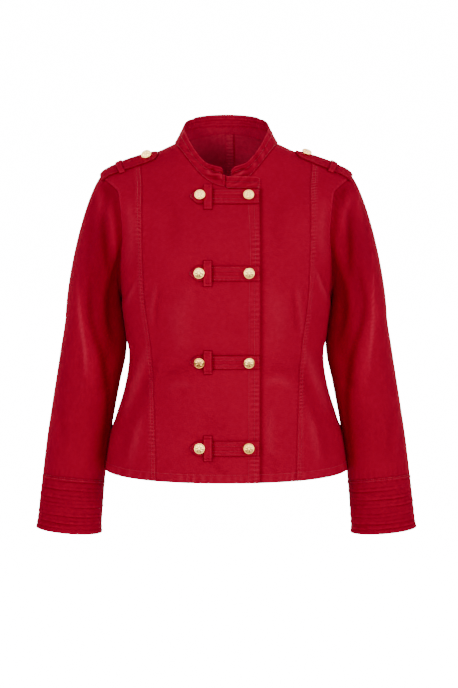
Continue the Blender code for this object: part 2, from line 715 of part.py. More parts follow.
# ---------------------------------------------------------------- what lies on the fronts
def front_surface(x, z, height):
    """Points at a height over the inner face of the right front, at places x and z."""
    turn, level = on_front(x, z)
    points, normals = body_point(turn, level), body_normal(turn, level)
    lift = lap_lift(points)
    return points + normals * (lift + height)[..., None]


def add_tab(name, row_z, finish):
    """A horizontal tab: a straight strap with a tapered tip towards the wearer's right."""
    tip_row, shoulder = TAB_TIP_X + TAB_POINT * TAB_TIP_ROW, TAB_TIP_X + TAB_POINT
    x = np.concatenate([[TAB_TIP_X, tip_row], np.linspace(shoulder, TAB_END_X, TAB_COLUMNS)])
    taper = ease(x, TAB_TIP_X - TAB_POINT * TAB_BLUNT, shoulder)
    across = np.array([-0.5, 0.0, 0.5])[:, None] * TAB_HEIGHT * taper[None]
    xs, zs = np.broadcast_to(x, across.shape), row_z + across
    base = np.full(xs.shape, CLOTH + LAY)
    return add_wall(name, front_surface(xs, zs, base), front_surface(xs, zs, base + DOUBLE),
                    finish)


def add_loop(name, row_z, finish):
    """An upright keeper loop, which bridges its tab and is sewn down above and below it."""
    half = LOOP_HEIGHT / 2
    shoulder = TAB_HEIGHT / 2 + LOOP_SLACK
    foot = shoulder + LOOP_DROP
    z = np.array([-half, -half + LOOP_SEWN, -foot, -shoulder, 0.0, shoulder, foot,
                  half - LOOP_SEWN, half])
    low, high = CLOTH + LAY, CLOTH + EPAULETTE_LAY + DOUBLE + LAY
    base = np.array([low, low, low, high, high, high, low, low, low])
    x = np.array(LOOP_X)
    xs = np.broadcast_to(x[None], (len(z), 2))
    zs = np.broadcast_to((row_z + z)[:, None], xs.shape)
    heights = np.broadcast_to(base[:, None], xs.shape)
    return add_wall(name, front_surface(xs, zs, heights),
                    front_surface(xs, zs, heights + LOOP_THICKNESS), finish)


# ---------------------------------------------------------------- epaulettes
def epaulette_place(share, sideways, side):
    """Turn and level on the shoulder, for a share of the strap's length and millimetres across.

    sideways is positive towards the front."""
    share, sideways = np.broadcast_arrays(np.asarray(share, float), np.asarray(sideways, float))
    level = EPAULETTE_OUTER_LEVEL + (EPAULETTE_TIP_LEVEL - EPAULETTE_OUTER_LEVEL) * share
    turn = np.full(level.shape, 90.0)
    step = sideways / EPAULETTE_WALK
    for _ in range(EPAULETTE_WALK):
        here = body_point(turn, level)
        ahead = body_point(turn - 0.5, level)
        turn = turn - 0.5 * step / np.linalg.norm(ahead - here, axis=-1)
    return turn * side, level


def epaulette_surface(share, sideways, height, side):
    turn, level = epaulette_place(share, sideways, side)
    return body_point(turn, level) + body_normal(turn, level) * np.asarray(height)[..., None]


def epaulette_middle(share, side):
    """How far the strap's middle lies in front of the shoulder seam."""
    return np.interp(share, (0.0, 1.0), EPAULETTE_FORWARD[side])


def epaulette_half_width(share):
    straight = np.interp(share, (0.0, 1.0), EPAULETTE_HALF_WIDTH)
    from_tip = np.clip((1 - np.asarray(share)) / EPAULETTE_POINT, 0.0, 1.0)
    return straight * (EPAULETTE_BLUNT + (1 - EPAULETTE_BLUNT) * from_tip**0.75)


def add_epaulette(name, side, finish):
    share = np.concatenate([EPAULETTE_ROWS_OUTER, EPAULETTE_LOOP_AT, EPAULETTE_ROWS])
    across = np.array(EPAULETTE_COLUMNS)[:, None]
    shares = np.broadcast_to(share, (len(across), len(share)))
    sideways = epaulette_middle(share, side) + across * epaulette_half_width(share)[None]
    base = np.full(shares.shape, CLOTH + EPAULETTE_LAY)
    return add_wall(name, epaulette_surface(shares, sideways, base, side),
                    epaulette_surface(shares, sideways, base + DOUBLE, side), finish)


def add_epaulette_loop(name, side, finish):
    """The keeper across an epaulette, sewn down in front of it and behind it."""
    across = np.array(EPAULETTE_COLUMNS)[:, None] * epaulette_half_width(EPAULETTE_LOOP_AT)
    across[[0, -1]] *= 1 + LOOP_SLACK / EPAULETTE_HALF_WIDTH[0]
    foot = across[-1] + np.array(EPAULETTE_LOOP_FOOT)[:, None]
    sideways = epaulette_middle(EPAULETTE_LOOP_AT, side) + np.vstack([-foot[::-1], across, foot])
    low, high = CLOTH + LAY, CLOTH + LAY + DOUBLE + LAY
    base = np.array([low] * 3 + [high] * len(across) + [low] * 3)
    shares = np.broadcast_to(EPAULETTE_LOOP_AT, sideways.shape)
    heights = np.broadcast_to(base[:, None], sideways.shape)
    return add_wall(name, epaulette_surface(shares, sideways, heights, side),
                    epaulette_surface(shares, sideways, heights + LOOP_THICKNESS, side), finish)


# ---------------------------------------------------------------- buttons
# A cast shank button: the shank, the back of the head, its rounded rim and its low dome.
BUTTON_PROFILE = (
    # radius, height above the cloth it is sewn to
    (2.4, 0.0), (2.4, 3.0), (8.0, 3.2), (9.0, 4.0), (8.7, 5.2), (5.0, 6.6))
BUTTON_CROWN = 7.0
BUTTON_SIDES = 12


def add_button(name, seat, normal, finish):
    """A button whose shank stands on seat and whose face looks along normal."""
    axis = unit(np.asarray(normal))
    right = unit(np.cross(np.array([0.0, 0.0, 1.0]), axis))
    upward = np.cross(axis, right)
    points = []
    for radius, height in BUTTON_PROFILE:
        for number in range(BUTTON_SIDES):
            angle = 2 * math.pi * number / BUTTON_SIDES
            ring = right * math.cos(angle) + upward * math.sin(angle)
            points.append(seat + axis * height + ring * radius)
    points += [np.asarray(seat, float), seat + axis * BUTTON_CROWN]
    bottom, crown = len(points) - 2, len(points) - 1
    last = (len(BUTTON_PROFILE) - 1) * BUTTON_SIDES
    faces = []
    for number in range(BUTTON_SIDES):
        beside = (number + 1) % BUTTON_SIDES
        faces.append([bottom, beside, number])
        faces.append([crown, last + number, last + beside])
        for start in range(0, last, BUTTON_SIDES):
            faces.append([start + number, start + beside,
                          start + BUTTON_SIDES + beside, start + BUTTON_SIDES + number])
    return add_object(name, points, faces, finish)


def add_front_buttons(finish):
    for row, row_z in enumerate(TAB_ROWS_Z, start=1):
        for place, x in zip(("right", "left"), BUTTON_X):
            turn, level = on_front(x, row_z)
            normal = body_normal(turn, level)
            height = CLOTH + LAY + DOUBLE + GAP
            seat = body_point(turn, level) + normal * (lap_lift(body_point(turn, level)) + height)
            add_button(f"button_{row}_{place}", seat, normal, finish)


def add_epaulette_button(name, side, finish):
    forward = epaulette_middle(EPAULETTE_BUTTON_AT, side) + EPAULETTE_BUTTON_FORWARD
    turn, level = epaulette_place(EPAULETTE_BUTTON_AT, forward, side)
    normal = body_normal(turn, level)
    height = CLOTH + EPAULETTE_LAY + DOUBLE + GAP + EPAULETTE_BUTTON_SHANK
    seat = body_point(turn, level) + normal * height
    tilt = math.radians(EPAULETTE_BUTTON_TILT)
    facing = normal * math.cos(tilt) + np.array([0.0, -1.0, 0.0]) * math.sin(tilt)
    add_button(name, seat, facing, finish)


# ---------------------------------------------------------------- the jacket
def build():
    for old in list(bpy.data.objects):
        bpy.data.objects.remove(old)
    twill = material("red cotton twill", RED, 0.85, 0.0)
    gold = material("pale gold plated brass", GOLD, 0.28, 1.0)
    sides = (("right", -1), ("left", 1))

    add_panel("front_right_centre", centre_front_grid(-1, LAP_EDGE_X),
              ["last row", "last column"], twill, lifted=True)
    add_panel("front_left_centre", centre_front_grid(1, UNDER_EDGE_X),
              ["last row", "last column"], twill)
    for word, side in sides:
        add_panel(f"front_{word}_side", side_front_grid(side),
                  ["last row", "first column", "last column"], twill)
        add_panel(f"back_{word}", back_grid(side),
                  ["last row", "first column", "last column"], twill)
        add_sleeve(f"sleeve_{word}", side, twill)
        add_cuff(f"cuff_{word}", side, twill)
        add_epaulette(f"epaulette_{word}", side, twill)
        add_epaulette_loop(f"epaulette_loop_{word}", side, twill)
        add_epaulette_button(f"epaulette_button_{word}", side, gold)
    add_collar("collar_stand", twill)
    for number, row_z in enumerate(TAB_ROWS_Z, start=1):
        add_tab(f"tab_{number}", row_z, twill)
        add_loop(f"tab_loop_{number}", row_z, twill)
    add_front_buttons(gold)


build()
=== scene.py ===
# %% [markdown]
# # A red stand-collar jacket with strap tabs and gold buttons
# The real jacket is cut from a heavy cotton twill, sewn, and only then dyed and washed. That is
# why its seams are drawn up into small puckers, and why every ridge is a little lighter than the
# cloth beside it. This lesson dresses the plain solids of the frame with cloth that has those
# puckers, creases, stitches and dye marks.

# %% The frame that carries everything
import json
import math
from collections import namedtuple

import bpy
import numpy as np
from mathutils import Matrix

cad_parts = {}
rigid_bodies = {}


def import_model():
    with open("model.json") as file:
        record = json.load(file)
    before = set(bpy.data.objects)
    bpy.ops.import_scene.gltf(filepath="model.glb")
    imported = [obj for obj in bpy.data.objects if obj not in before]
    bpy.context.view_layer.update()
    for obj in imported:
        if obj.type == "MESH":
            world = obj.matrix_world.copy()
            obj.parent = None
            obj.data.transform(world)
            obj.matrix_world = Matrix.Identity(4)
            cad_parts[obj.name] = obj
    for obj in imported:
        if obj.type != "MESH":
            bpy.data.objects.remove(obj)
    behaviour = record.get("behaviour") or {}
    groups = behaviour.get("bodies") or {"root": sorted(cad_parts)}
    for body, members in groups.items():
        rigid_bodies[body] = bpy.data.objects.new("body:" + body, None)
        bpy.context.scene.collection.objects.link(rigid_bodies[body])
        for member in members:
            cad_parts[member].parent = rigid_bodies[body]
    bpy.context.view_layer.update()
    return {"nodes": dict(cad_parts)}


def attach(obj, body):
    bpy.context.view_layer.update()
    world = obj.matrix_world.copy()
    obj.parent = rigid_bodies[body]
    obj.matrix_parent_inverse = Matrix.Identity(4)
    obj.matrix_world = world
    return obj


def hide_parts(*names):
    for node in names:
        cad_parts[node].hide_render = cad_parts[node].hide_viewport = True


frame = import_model()
MILLIMETRE = 0.001
print("nodes in the frame:", len(frame["nodes"]))

# %% [markdown]
# ## Reading a table along a smooth curve
# A garment is drafted from a few measures at a few heights. Each table below holds such measures,
# and `read` joins them with a curve that has no corners, as a pattern cutter does with a curved
# rule.

# %% Tables and small helpers
def read(table, key):
    """Read the columns of a table at key, its first column, along smooth curves."""
    key = np.asarray(key, float)
    keys, values = table[:, 0], table[:, 1:]
    steps = np.diff(keys)[:, None]
    slopes = np.diff(values, axis=0) / steps
    middle = (slopes[:-1] * steps[1:] + slopes[1:] * steps[:-1]) / (steps[:-1] + steps[1:])
    tangents = np.vstack([slopes[:1], middle, slopes[-1:]])
    row = np.clip(np.searchsorted(keys, key, side="right") - 1, 0, len(steps) - 1)
    step = steps[row]
    f = ((key - keys[row]) / steps[row, 0])[..., None]
    return (values[row] * (2 * f**3 - 3 * f**2 + 1) + tangents[row] * step * (f**3 - 2 * f**2 + f)
            + values[row + 1] * (3 * f**2 - 2 * f**3) + tangents[row + 1] * step * (f**3 - f**2))


def ease(value, start, end):
    """0 before start, 1 after end, and a smooth step between."""
    f = np.clip((np.asarray(value, float) - start) / (end - start), 0.0, 1.0)
    return f * f * (3 - 2 * f)


def unit(vectors):
    return vectors / np.linalg.norm(vectors, axis=-1, keepdims=True)


EDGE_STEPS = (0.0, 0.6, 1.3, 2.2, 3.4, 4.8, 6.2, 7.4, 8.6, 10.2, 12.4, 15.0, 18.4)


def steps(length, start_fine=True, end_fine=True, spacing=4.6):
    """Distances from 0 to length, close together near the ends that carry a seam or an edge."""
    near = np.array([step for step in EDGE_STEPS if step < 0.42 * length])
    first = near if start_fine else near[:1]
    last = length - (near if end_fine else near[:1])[::-1]
    count = max(2, int(round((last[0] - first[-1]) / spacing)) + 1)
    return np.concatenate([first, np.linspace(first[-1], last[0], count)[1:-1], last])


print("columns across 200 mm of cloth:", len(steps(200.0)))

# %% [markdown]
# ## The form of the body
# The jacket is filled out as if it were worn, so its cloth follows a general figure. One ring
# round the figure at each level, from the hem to the neck, gives that form. A place on it is a
# pair: the turn round the body in degrees, and the level. Cloth could also be draped by
# simulation, but then it would fall a little differently on each run. These are the same rings
# as those of the solids, so that the cloth made here lies where they are.

# %% Rings round the figure
# One ring round the body for each level, from the hem up. A ring crosses the centre front, the
# side (above the armhole: the shoulder seam) and the centre back at three heights. bow is 1 for
# an ellipse and less for a squarer ring; fall says how soon the ring drops away from its side.
TORSO = np.array([
    # level  z_front z_side z_back  half_width front back  bow   fall
    (0.0,    -547,   -547,  -547,   204.0,     156,  127,  0.88, 1.30),   # hem
    (1.0,    -478,   -478,  -478,   191.5,     147,  118,  0.88, 1.30),   # hip
    (2.0,    -414,   -414,  -414,   172.0,     133,  106,  0.89, 1.30),   # below the waist
    (3.0,    -360,   -360,  -360,   163.2,     126,   99,  0.90, 1.30),   # waist
    (4.0,    -308,   -308,  -308,   167.3,     136,  105,  0.89, 1.30),   # under the bust
    (5.0,    -258,   -258,  -258,   174.0,     149,  111,  0.87, 1.30),   # foot of the armholes
    (6.0,    -170,   -160,  -170,   187.0,     141,  113,  0.90, 1.30),   # chest
    (7.0,    -122,    -53,  -112,   210.0,     120,   99,  1.04, 1.25),   # tips of the shoulders
    (7.5,    -109,    -35,   -88,   184.0,     111,   90,  1.02, 1.25),
    (8.0,     -97,    -22,   -58,   150.0,     103,   80,  1.00, 1.30),   # half way to the neck
    (8.5,     -84,    -13,   -22,   117.0,      95,   70,  1.00, 1.85),
    (9.0,     -70,      1,    19,    86.0,      88,   60,  1.00, 2.60),   # neck seam
])
ARMHOLE_FOOT, SHOULDER_TIP, NECK = 5.0, 7.0, 9.0    # levels
HEM_Z, ARMHOLE_FOOT_Z = TORSO[0, 1], TORSO[5, 1]


def body_point(turn, level):
    """The inner face of the cloth, for a turn round the body in degrees (+ is the left side)."""
    turn, level = np.broadcast_arrays(np.asarray(turn, float), np.asarray(level, float))
    z_front, z_side, z_back, half_width, front, back, bow, fall = np.moveaxis(
        read(TORSO, level), -1, 0)
    sine, cosine = np.sin(np.radians(turn)), np.cos(np.radians(turn))
    in_front = cosine > 0
    x = half_width * np.sign(sine) * np.abs(sine)**bow
    y = np.where(in_front, -front, back) * np.abs(cosine)**bow
    z = z_side + (np.where(in_front, z_front, z_back) - z_side) * np.abs(cosine)**fall
    return np.stack([x, y, z], axis=-1)


def body_normal(turn, level):
    """Unit vectors out of the cloth at the same places."""
    turn, level = np.asarray(turn, float), np.asarray(level, float)
    round_body = body_point(turn + 0.3, level) - body_point(turn - 0.3, level)
    up_body = body_point(turn, level + 0.01) - body_point(turn, level - 0.01)
    return unit(np.cross(round_body, up_body))


def on_front(x, z):
    """The turn and level of the points of the front that lie at x and z."""
    x, z = np.broadcast_arrays(np.asarray(x, float), np.asarray(z, float))
    level = np.interp(z, TORSO[:, 1], TORSO[:, 0])
    turn = np.zeros_like(level)
    for _ in range(40):
        ring = read(TORSO, level)
        share = np.clip(np.abs(x) / ring[..., 3], 0.0, 0.9999)**(1 / ring[..., 6])
        turn = np.degrees(np.arcsin(share)) * np.sign(x)
        here = body_point(turn, level)[..., 2]
        above = body_point(turn, level + 0.02)[..., 2]
        level = level + 0.8 * (z - here) / np.maximum((above - here) / 0.02, 10.0)
    return turn, level


print("chest ring, mm:", body_point([0, 90, 180], ARMHOLE_FOOT).round(0).tolist())

# %% [markdown]
# ## Seam lines
# Two seams run over the figure: the shoulder princess seam, which takes in each front at the
# waist and lets it out over the bust, and the armhole. Each is drafted as a line of places, as a
# cutter marks them on a dress form, because the panels have to meet along the very same line.
# `resampled` walks along such a line in real millimetres.

# %% Princess seam and armhole
# Thicknesses and distances in millimetres.
CLOTH = 1.8             # the twill and the allowances turned in behind it
DOUBLE = 2.0            # two layers stitched together
GAP = 0.3               # between two pieces at a seam
LAY = 0.7               # between a piece and what it lies on
LAP = 2.8               # how far the upper front stands off where it laps the lower one
LAP_EDGE_X = 54.5       # the free edge of the right front, which lies on top
UNDER_EDGE_X = -50.0    # the free edge of the left front, beneath it
LAP_TOP_Z = -72.5       # where the lap ends, below the collar's extension

# The two halves of the armhole, from the tip of the shoulder round to its foot. turn is the angle
# round the body: 0 at the centre front, 90 at the side and 180 at the centre back.
ARMHOLE_FRONT = np.array([
    # step turn   level
    (0,    90.0,  7.00),
    (1,    78.0,  7.09),
    (2,    67.5,  7.14),
    (3,    59.5,  7.08),
    (4,    55.5,  6.80),
    (5,    57.0,  6.45),
    (6,    62.5,  6.10),
    (7,    70.0,  5.74),
    (8,    79.0,  5.32),
    (9,    90.0,  5.00),
])
ARMHOLE_BACK = np.array([
    # step turn   level
    (0,    90.0,  7.00),
    (1,    99.4,  7.05),
    (2,    108.7, 7.02),
    (3,    115.5, 6.82),
    (4,    117.2, 6.45),
    (5,    115.9, 6.05),
    (6,    113.0, 5.65),
    (7,    107.0, 5.30),
    (8,    99.4,  5.08),
    (9,    90.0,  5.00),
])

# The shoulder princess seam, as its distance from the middle at each height.
PRINCESS = np.array([
    # z      x
    (-547.0, 114.0),
    (-480.0, 115.5),
    (-416.0, 118.0),
    (-360.0, 121.0),
    (-320.0, 124.0),
    (-285.0, 128.5),
    (-250.0, 132.5),
    (-200.0, 135.0),
    (-120.0, 137.0),
    (-70.0,  138.0),
])
PRINCESS_TOP_X = 145.0  # where the seam reaches the shoulder seam


def run_of(points):
    """Distance along a line of points, from its first one."""
    return np.concatenate([[0.0], np.cumsum(np.linalg.norm(np.diff(points, axis=0), axis=1))])


def line(turns, levels):
    turns, levels = np.broadcast_arrays(np.asarray(turns, float), np.asarray(levels, float))
    return np.stack([turns, levels], axis=-1)


def resampled(places, shares):
    """Places on the same line at shares of its length."""
    run = run_of(body_point(places[:, 0], places[:, 1]))
    wanted = np.asarray(shares) * run[-1]
    return line(np.interp(wanted, run, places[:, 0]), np.interp(wanted, run, places[:, 1]))


def armhole(front):
    """Half an armhole, from its foot up to the tip of the shoulder."""
    table = ARMHOLE_FRONT if front else ARMHOLE_BACK
    return line(*np.moveaxis(read(table, np.linspace(9, 0, 400)), -1, 0))


def princess_low(levels):
    """Turn of the princess seam at levels below the armhole, where every ring is level."""
    ring = read(TORSO, levels)
    return np.degrees(np.arcsin((read(PRINCESS, ring[:, 0])[:, 0] / ring[:, 3])**(1 / ring[:, 6])))


def crossing_level(turn, x):
    """The level, on the shoulder, at which the body at that turn is x from the middle."""
    low, high = SHOULDER_TIP, NECK
    for _ in range(40):
        middle = (low + high) / 2
        if body_point(turn, middle)[0] > x:
            low = middle
        else:
            high = middle
    return (low + high) / 2


def princess_high():
    """The princess seam from the armhole's foot to the shoulder seam."""
    z = np.linspace(ARMHOLE_FOOT_Z, PRINCESS[-1, 0], 60)
    turn, level = on_front(read(PRINCESS, z)[:, 0], z)
    over_turn = np.linspace(turn[-1], 90.0, 40)[1:]
    over_x = np.interp(over_turn, (turn[-1], 90.0), (PRINCESS[-1, 1], PRINCESS_TOP_X))
    over_level = [crossing_level(at, x) for at, x in zip(over_turn, over_x)]
    return line(np.append(turn, over_turn), np.append(level, over_level))


PRINCESS_HIGH = princess_high()
PRINCESS_TOP_LEVEL = crossing_level(90.0, PRINCESS_TOP_X)
print("princess seam above the armhole's foot, mm:",
      round(run_of(body_point(*PRINCESS_HIGH.T))[-1]))

# %% [markdown]
# ## Panels cut to those seams
# Each front has two panels and each side of the back has one, as a cutter would lay them out. A
# panel could be carved out of one big surface, but its edges would come out jagged. So it is a
# grid of places between four lines. Below the armhole its rows are level, and above it the grid
# is filled in from its borders (a Coons patch, the usual way to span four curves). Rows and
# columns crowd together beside the seams, because the puckers need them there.

# %% Grids of places
def to_width(places):
    """Places of (turn, level) as (distance from the middle, level)."""
    x = body_point(places[..., 0], places[..., 1])[..., 0]
    return np.stack([x, places[..., 1]], axis=-1)


def from_width(places):
    """Such places on the front as (turn, level) again."""
    x, level = places[..., 0], places[..., 1]
    ring = read(TORSO, level)
    share = np.clip(np.abs(x) / ring[..., 3], 0.0, 1.0)**(1 / ring[..., 6])
    return np.stack([np.degrees(np.arcsin(share)) * np.sign(x), level], axis=-1)


def fill(bottom, top, left, right, along, rise):
    """A grid of pairs that meets four border lines of pairs."""
    along, rise = np.asarray(along)[None, :, None], np.asarray(rise)[:, None, None]
    ruled = bottom[None] * (1 - rise) + top[None] * rise
    ruled = ruled + left[:, None] * (1 - along) + right[:, None] * along
    corners = ((bottom[0] * (1 - along) + bottom[-1] * along) * (1 - rise)
               + (top[0] * (1 - along) + top[-1] * along) * rise)
    return ruled - corners


ROW_SPACING, COLUMN_SPACING = 1.6, 4.0      # rows are close: upright seams pucker every 6 mm


def panel_places(left_low, right_low, top, left, right, by_width=False):
    """Places of a panel. left_low and right_low give turns for levels; the rest are lines."""
    width = run_of(body_point(*top.T))[-1]
    along = steps(width, spacing=COLUMN_SPACING) / width
    dense = np.linspace(0.0, ARMHOLE_FOOT, 300)
    heights = HEM_Z + steps(ARMHOLE_FOOT_Z - HEM_Z, end_fine=False, spacing=ROW_SPACING)
    levels = np.interp(heights, read(TORSO, dense)[:, 0], dense)
    turns = left_low(levels)[:, None] * (1 - along) + right_low(levels)[:, None] * along
    low = np.stack([turns, np.broadcast_to(levels[:, None], turns.shape)], axis=-1)
    tall = run_of(body_point(*left.T))[-1]
    rise = steps(tall, start_fine=False, spacing=ROW_SPACING) / tall
    borders = [low[-1], resampled(top, along), resampled(left, rise), resampled(right, rise)]
    if by_width:
        high = from_width(fill(*(to_width(border) for border in borders), along, rise))
        high[:, 0], high[:, -1], high[-1] = borders[2], borders[3], borders[1]
    else:
        high = fill(*borders, along, rise)
    return np.vstack([low, high[1:]])


def centre_front(side, edge_x):
    """One centre front, from its free edge beyond the middle to its princess seam."""
    edge = abs(edge_x)
    edge_high = line(*on_front(edge, np.linspace(ARMHOLE_FOOT_Z, LAP_TOP_Z, 80)))
    lap_top = line(*on_front(np.linspace(edge, 0.0, 20)[:-1], np.full(19, LAP_TOP_Z)))
    edge_high[:, 0] *= -1
    lap_top[:, 0] *= -1
    shoulder = line(90.0, np.linspace(NECK, PRINCESS_TOP_LEVEL, 30))[1:]
    top = np.vstack([lap_top, line(np.linspace(0.0, 90.0, 90), NECK), shoulder])
    places = panel_places(lambda levels: -on_front(edge, read(TORSO, levels)[:, 0])[0],
                          princess_low, top, edge_high, PRINCESS_HIGH, by_width=True)
    return places * (side, 1)


def side_front(side):
    """One side front, from its princess seam to the side seam and the armhole."""
    top = line(90.0, np.linspace(PRINCESS_TOP_LEVEL, SHOULDER_TIP, 30))
    return panel_places(princess_low, lambda levels: np.full(len(levels), 90.0), top,
                        PRINCESS_HIGH, armhole(front=True)) * (side, 1)


def half_back(side):
    """One half of the back, from the centre back seam to the side seam and the armhole."""
    top = np.vstack([line(np.linspace(180.0, 90.0, 60), NECK),
                     line(90.0, np.linspace(NECK, SHOULDER_TIP, 60))[1:]])
    middle = line(180.0, np.linspace(ARMHOLE_FOOT, NECK, 80))
    return panel_places(lambda levels: np.full(len(levels), 180.0),
                        lambda levels: np.full(len(levels), 90.0), top,
                        middle, armhole(front=False)) * (side, 1)


print("grid of one side front:", side_front(1).shape)

# %% [markdown]
# ## Cloth with two faces
# Each piece is a grid of points with a smooth normal at each one. `Cloth` also keeps how far every
# point lies from the first column and from the first row, measured over the cloth in millimetres.
# Seams, stitches, puckers and the weave are all placed by those distances, as a sewer would place
# them with a tape measure.

# %% Measured grids
Cloth = namedtuple("Cloth", "points normals across along around")


def measured(points, normals, around=False):
    """The grid with its distances; a closed one gets its first column again at its end."""
    if around:
        points = np.concatenate([points, points[:, :1]], axis=1)
        normals = np.concatenate([normals, normals[:, :1]], axis=1)
    widths = np.linalg.norm(np.diff(points, axis=1), axis=2)
    heights = np.linalg.norm(np.diff(points, axis=0), axis=2)
    across = np.hstack([np.zeros((len(points), 1)), np.cumsum(widths, axis=1)])
    along = np.vstack([np.zeros((1, points.shape[1])), np.cumsum(heights, axis=0)])
    return Cloth(points, normals, across, along, around)


def from_edge(cloth, edge):
    """Distance from one edge, and the run along that edge, for every point."""
    if edge == "first column":
        return cloth.across, cloth.along
    if edge == "last column":
        return cloth.across[:, -1:] - cloth.across, cloth.along
    if edge == "first row":
        return cloth.along, cloth.across
    return cloth.along[-1:] - cloth.along, cloth.across


def beside(away, width):
    """1 on a line and next to nothing past twice the width, for distances from the line."""
    return np.exp(-(away / width)**2)


print("share of a groove left at its width:", round(float(beside(1.0, 1.0)), 2))

# %% [markdown]
# ### How the edges are made up
# The edges of a real panel are turned in, pressed and stitched, and the thread draws them up when
# the cloth shrinks in the dye bath. One could bend the cloth by simulation, but a shallow relief
# is enough at this size and can be matched to the photo: a raised strip, a seam that turns down,
# grooves under the stitches, and a wave that swells and dies away along the seam.

# %% Finished edges
def ripple(run, pitch, seed):
    """An uneven wave along a seam, as the thread draws up the cloth; seed shifts its phases."""
    wander = (0.33 * np.sin(run / 13.7 + 1.7 * seed) + 0.21 * np.sin(run / 5.9 + 2.9 * seed)
              + 0.45 * np.sin(run / 31.0 + 0.8 * seed))
    swell = (0.50 + 0.36 * np.sin(run / 19.0 + 1.3 * seed)
             + 0.36 * np.sin(run / 47.0 + 2.1 * seed))
    return swell * np.sin(2 * math.pi * run / pitch + 3.2 * wander)


# How an edge is made up. strip and rise: the width and height of the allowances beneath the
# topstitching. roll and dark: how deep the cloth turns down into the seam, and how much darker it
# is painted there, as painted shade. pucker, pitch and reach: the height, spacing and depth into
# the cloth of the puckers. pale: how much the strip is rubbed. rows: how far the stitch lines lie
# from the edge.
Finish = namedtuple("Finish", "strip rise roll dark pucker pitch reach pale rows")
FINISHES = {
    #                     strip rise  roll dark pucker pitch reach pale rows
    "plain seam": Finish(0.0, 0.0, 0.4, 0.40, 0.10, 8.0, 8.0, 0.00, ()),
    "strap seam": Finish(11.5, 0.5, 0.5, 0.35, 0.34, 6.0, 6.5, 0.10, (2.4, 7.6)),
    "front edge": Finish(18.5, 0.2, 0.5, 0.50, 0.26, 7.4, 8.5, 0.04, (9.4, 18.4)),
    "hem": Finish(14.5, 0.3, 0.5, 0.30, 0.17, 13.0, 9.0, 0.05, (14.0,)),
    "collar edge": Finish(2.0, 0.4, 0.6, 0.20, 0.10, 8.0, 8.0, 0.50, (9.5,)),
    "collar foot": Finish(0.0, 0.0, 0.9, 0.60, 0.20, 9.0, 8.0, 0.00, (2.4,)),
    "armhole": Finish(3.0, 0.5, 0.4, 0.10, 0.12, 9.0, 12.0, 0.16, ()),
    "shoulder": Finish(0.0, 0.0, 0.4, 0.30, 0.10, 11.0, 8.0, 0.00, ()),
    "sleeve head": Finish(0.0, 0.0, 0.5, 0.35, 0.18, 11.0, 14.0, 0.00, ()),
    "band edge": Finish(1.6, 0.2, 0.5, 0.30, 0.08, 7.0, 5.0, 0.30, (3.0,)),
    "cuff hem": Finish(4.5, 0.9, 0.5, 0.30, 0.20, 9.0, 6.0, 0.12, ()),
    "cuff seam": Finish(0.0, 0.0, 0.4, 0.25, 0.22, 8.5, 13.0, 0.00, ()),
    "cuff top": Finish(5.0, 0.3, 0.4, 0.20, 0.20, 8.5, 8.0, 0.06, (1.6, 4.6)),
    "centre back": Finish(10.0, 0.4, 0.5, 0.40, 0.34, 6.4, 6.5, 0.10, (2.4, 7.6)),
}


GROOVE, GROOVE_WIDTH = 0.22, 0.9        # how a row of stitches sinks in, and its half width, mm
TURN_WIDTH = 1.2                        # how far the turn at a seam reaches into the cloth


def made_up(cloth, edges, seed):
    """Relief in mm, and wear and painted shade from -1 to 1, that the finished edges give a piece
    of cloth.
    """
    relief, worn = np.zeros(cloth.across.shape), np.zeros(cloth.across.shape)
    for number, (edge, name) in enumerate(edges):
        finish = FINISHES[name]
        away, run = from_edge(cloth, edge)
        strip = 1 - ease(away, finish.strip - 0.8, finish.strip + 1.6) if finish.strip else 0.0
        turned = beside(away, TURN_WIDTH)
        wave = ripple(run, finish.pitch, seed + 3.1 * number)
        reach = beside(away - 0.4 * finish.strip, finish.reach) * (1 - 0.5 * beside(away, 1.5))
        puckers = finish.pucker * wave * reach
        relief += finish.rise * strip - finish.roll * turned + puckers
        # The strip is rubbed paler, the puckers' ridges are paler and their troughs darker, and the
        # turn into the seam is painted darker, as painted shade.
        worn += finish.pale * strip + puckers - finish.dark * turned
        for distance in finish.rows:
            relief -= GROOVE * beside(away - distance, GROOVE_WIDTH)
            # The groove under each row of stitches is painted darker, as painted shade.
            worn -= GROOVE * beside(away - distance, 1.0)
    return relief, worn


print("kinds of edge:", ", ".join(FINISHES))

# %% [markdown]
# ### Creases
# Worn cloth also has creases that no seam explains: drag lines from the shoulder tip, the long
# fold down the front of an empty sleeve, breaks at the waist. They could be sculpted by hand, but
# a table of lines can be read and changed. Each row of a crease table is one such line, with a
# width, a height and the places it runs through. A negative height is a trough. Sharp ridges are
# rubbed paler, and sharp troughs are painted darker: partly dye that stayed there, partly painted
# shade.

# %% Creases
WEAR_AND_SHADE_OF_SLOPE = 1.1     # how strongly the steepness of a crease shows in the colour


def smooth_line(places, count=40):
    """Points along a smooth curve through a few places, and the share of its length at each."""
    places = np.array(places, float)
    run = run_of(places)
    table = np.column_stack([run, places])
    if len(places) == 2:
        table = np.insert(table, 1, table.mean(axis=0), axis=0)
    wanted = np.linspace(0, run[-1], count)
    return read(table, wanted), wanted / run[-1]


def creased(first, second, creases):
    """Relief, and wear and painted shade, of creases, at points whose two coordinates are first and
    second.
    """
    relief, worn = np.zeros(first.shape), np.zeros(first.shape)
    for width, height, *places in creases:
        course, share = smooth_line(places)
        nearest, fade = np.full(first.shape, 1e9), np.zeros(first.shape)
        for (x, z), at in zip(course, share):
            away = np.hypot(first - x, second - z)
            closer = away < nearest
            nearest[closer] = away[closer]
            fade[closer] = math.sin(math.pi * (0.08 + 0.84 * at))**0.8
        shape = beside(nearest, width) * fade
        relief += height * shape
        worn += WEAR_AND_SHADE_OF_SLOPE * height / width * shape
    return relief, worn


middle_of_line = smooth_line(((0, 0), (10, 4), (20, 0)), 3)[0][1]
print("half way along a curved crease:", middle_of_line.round(1).tolist())

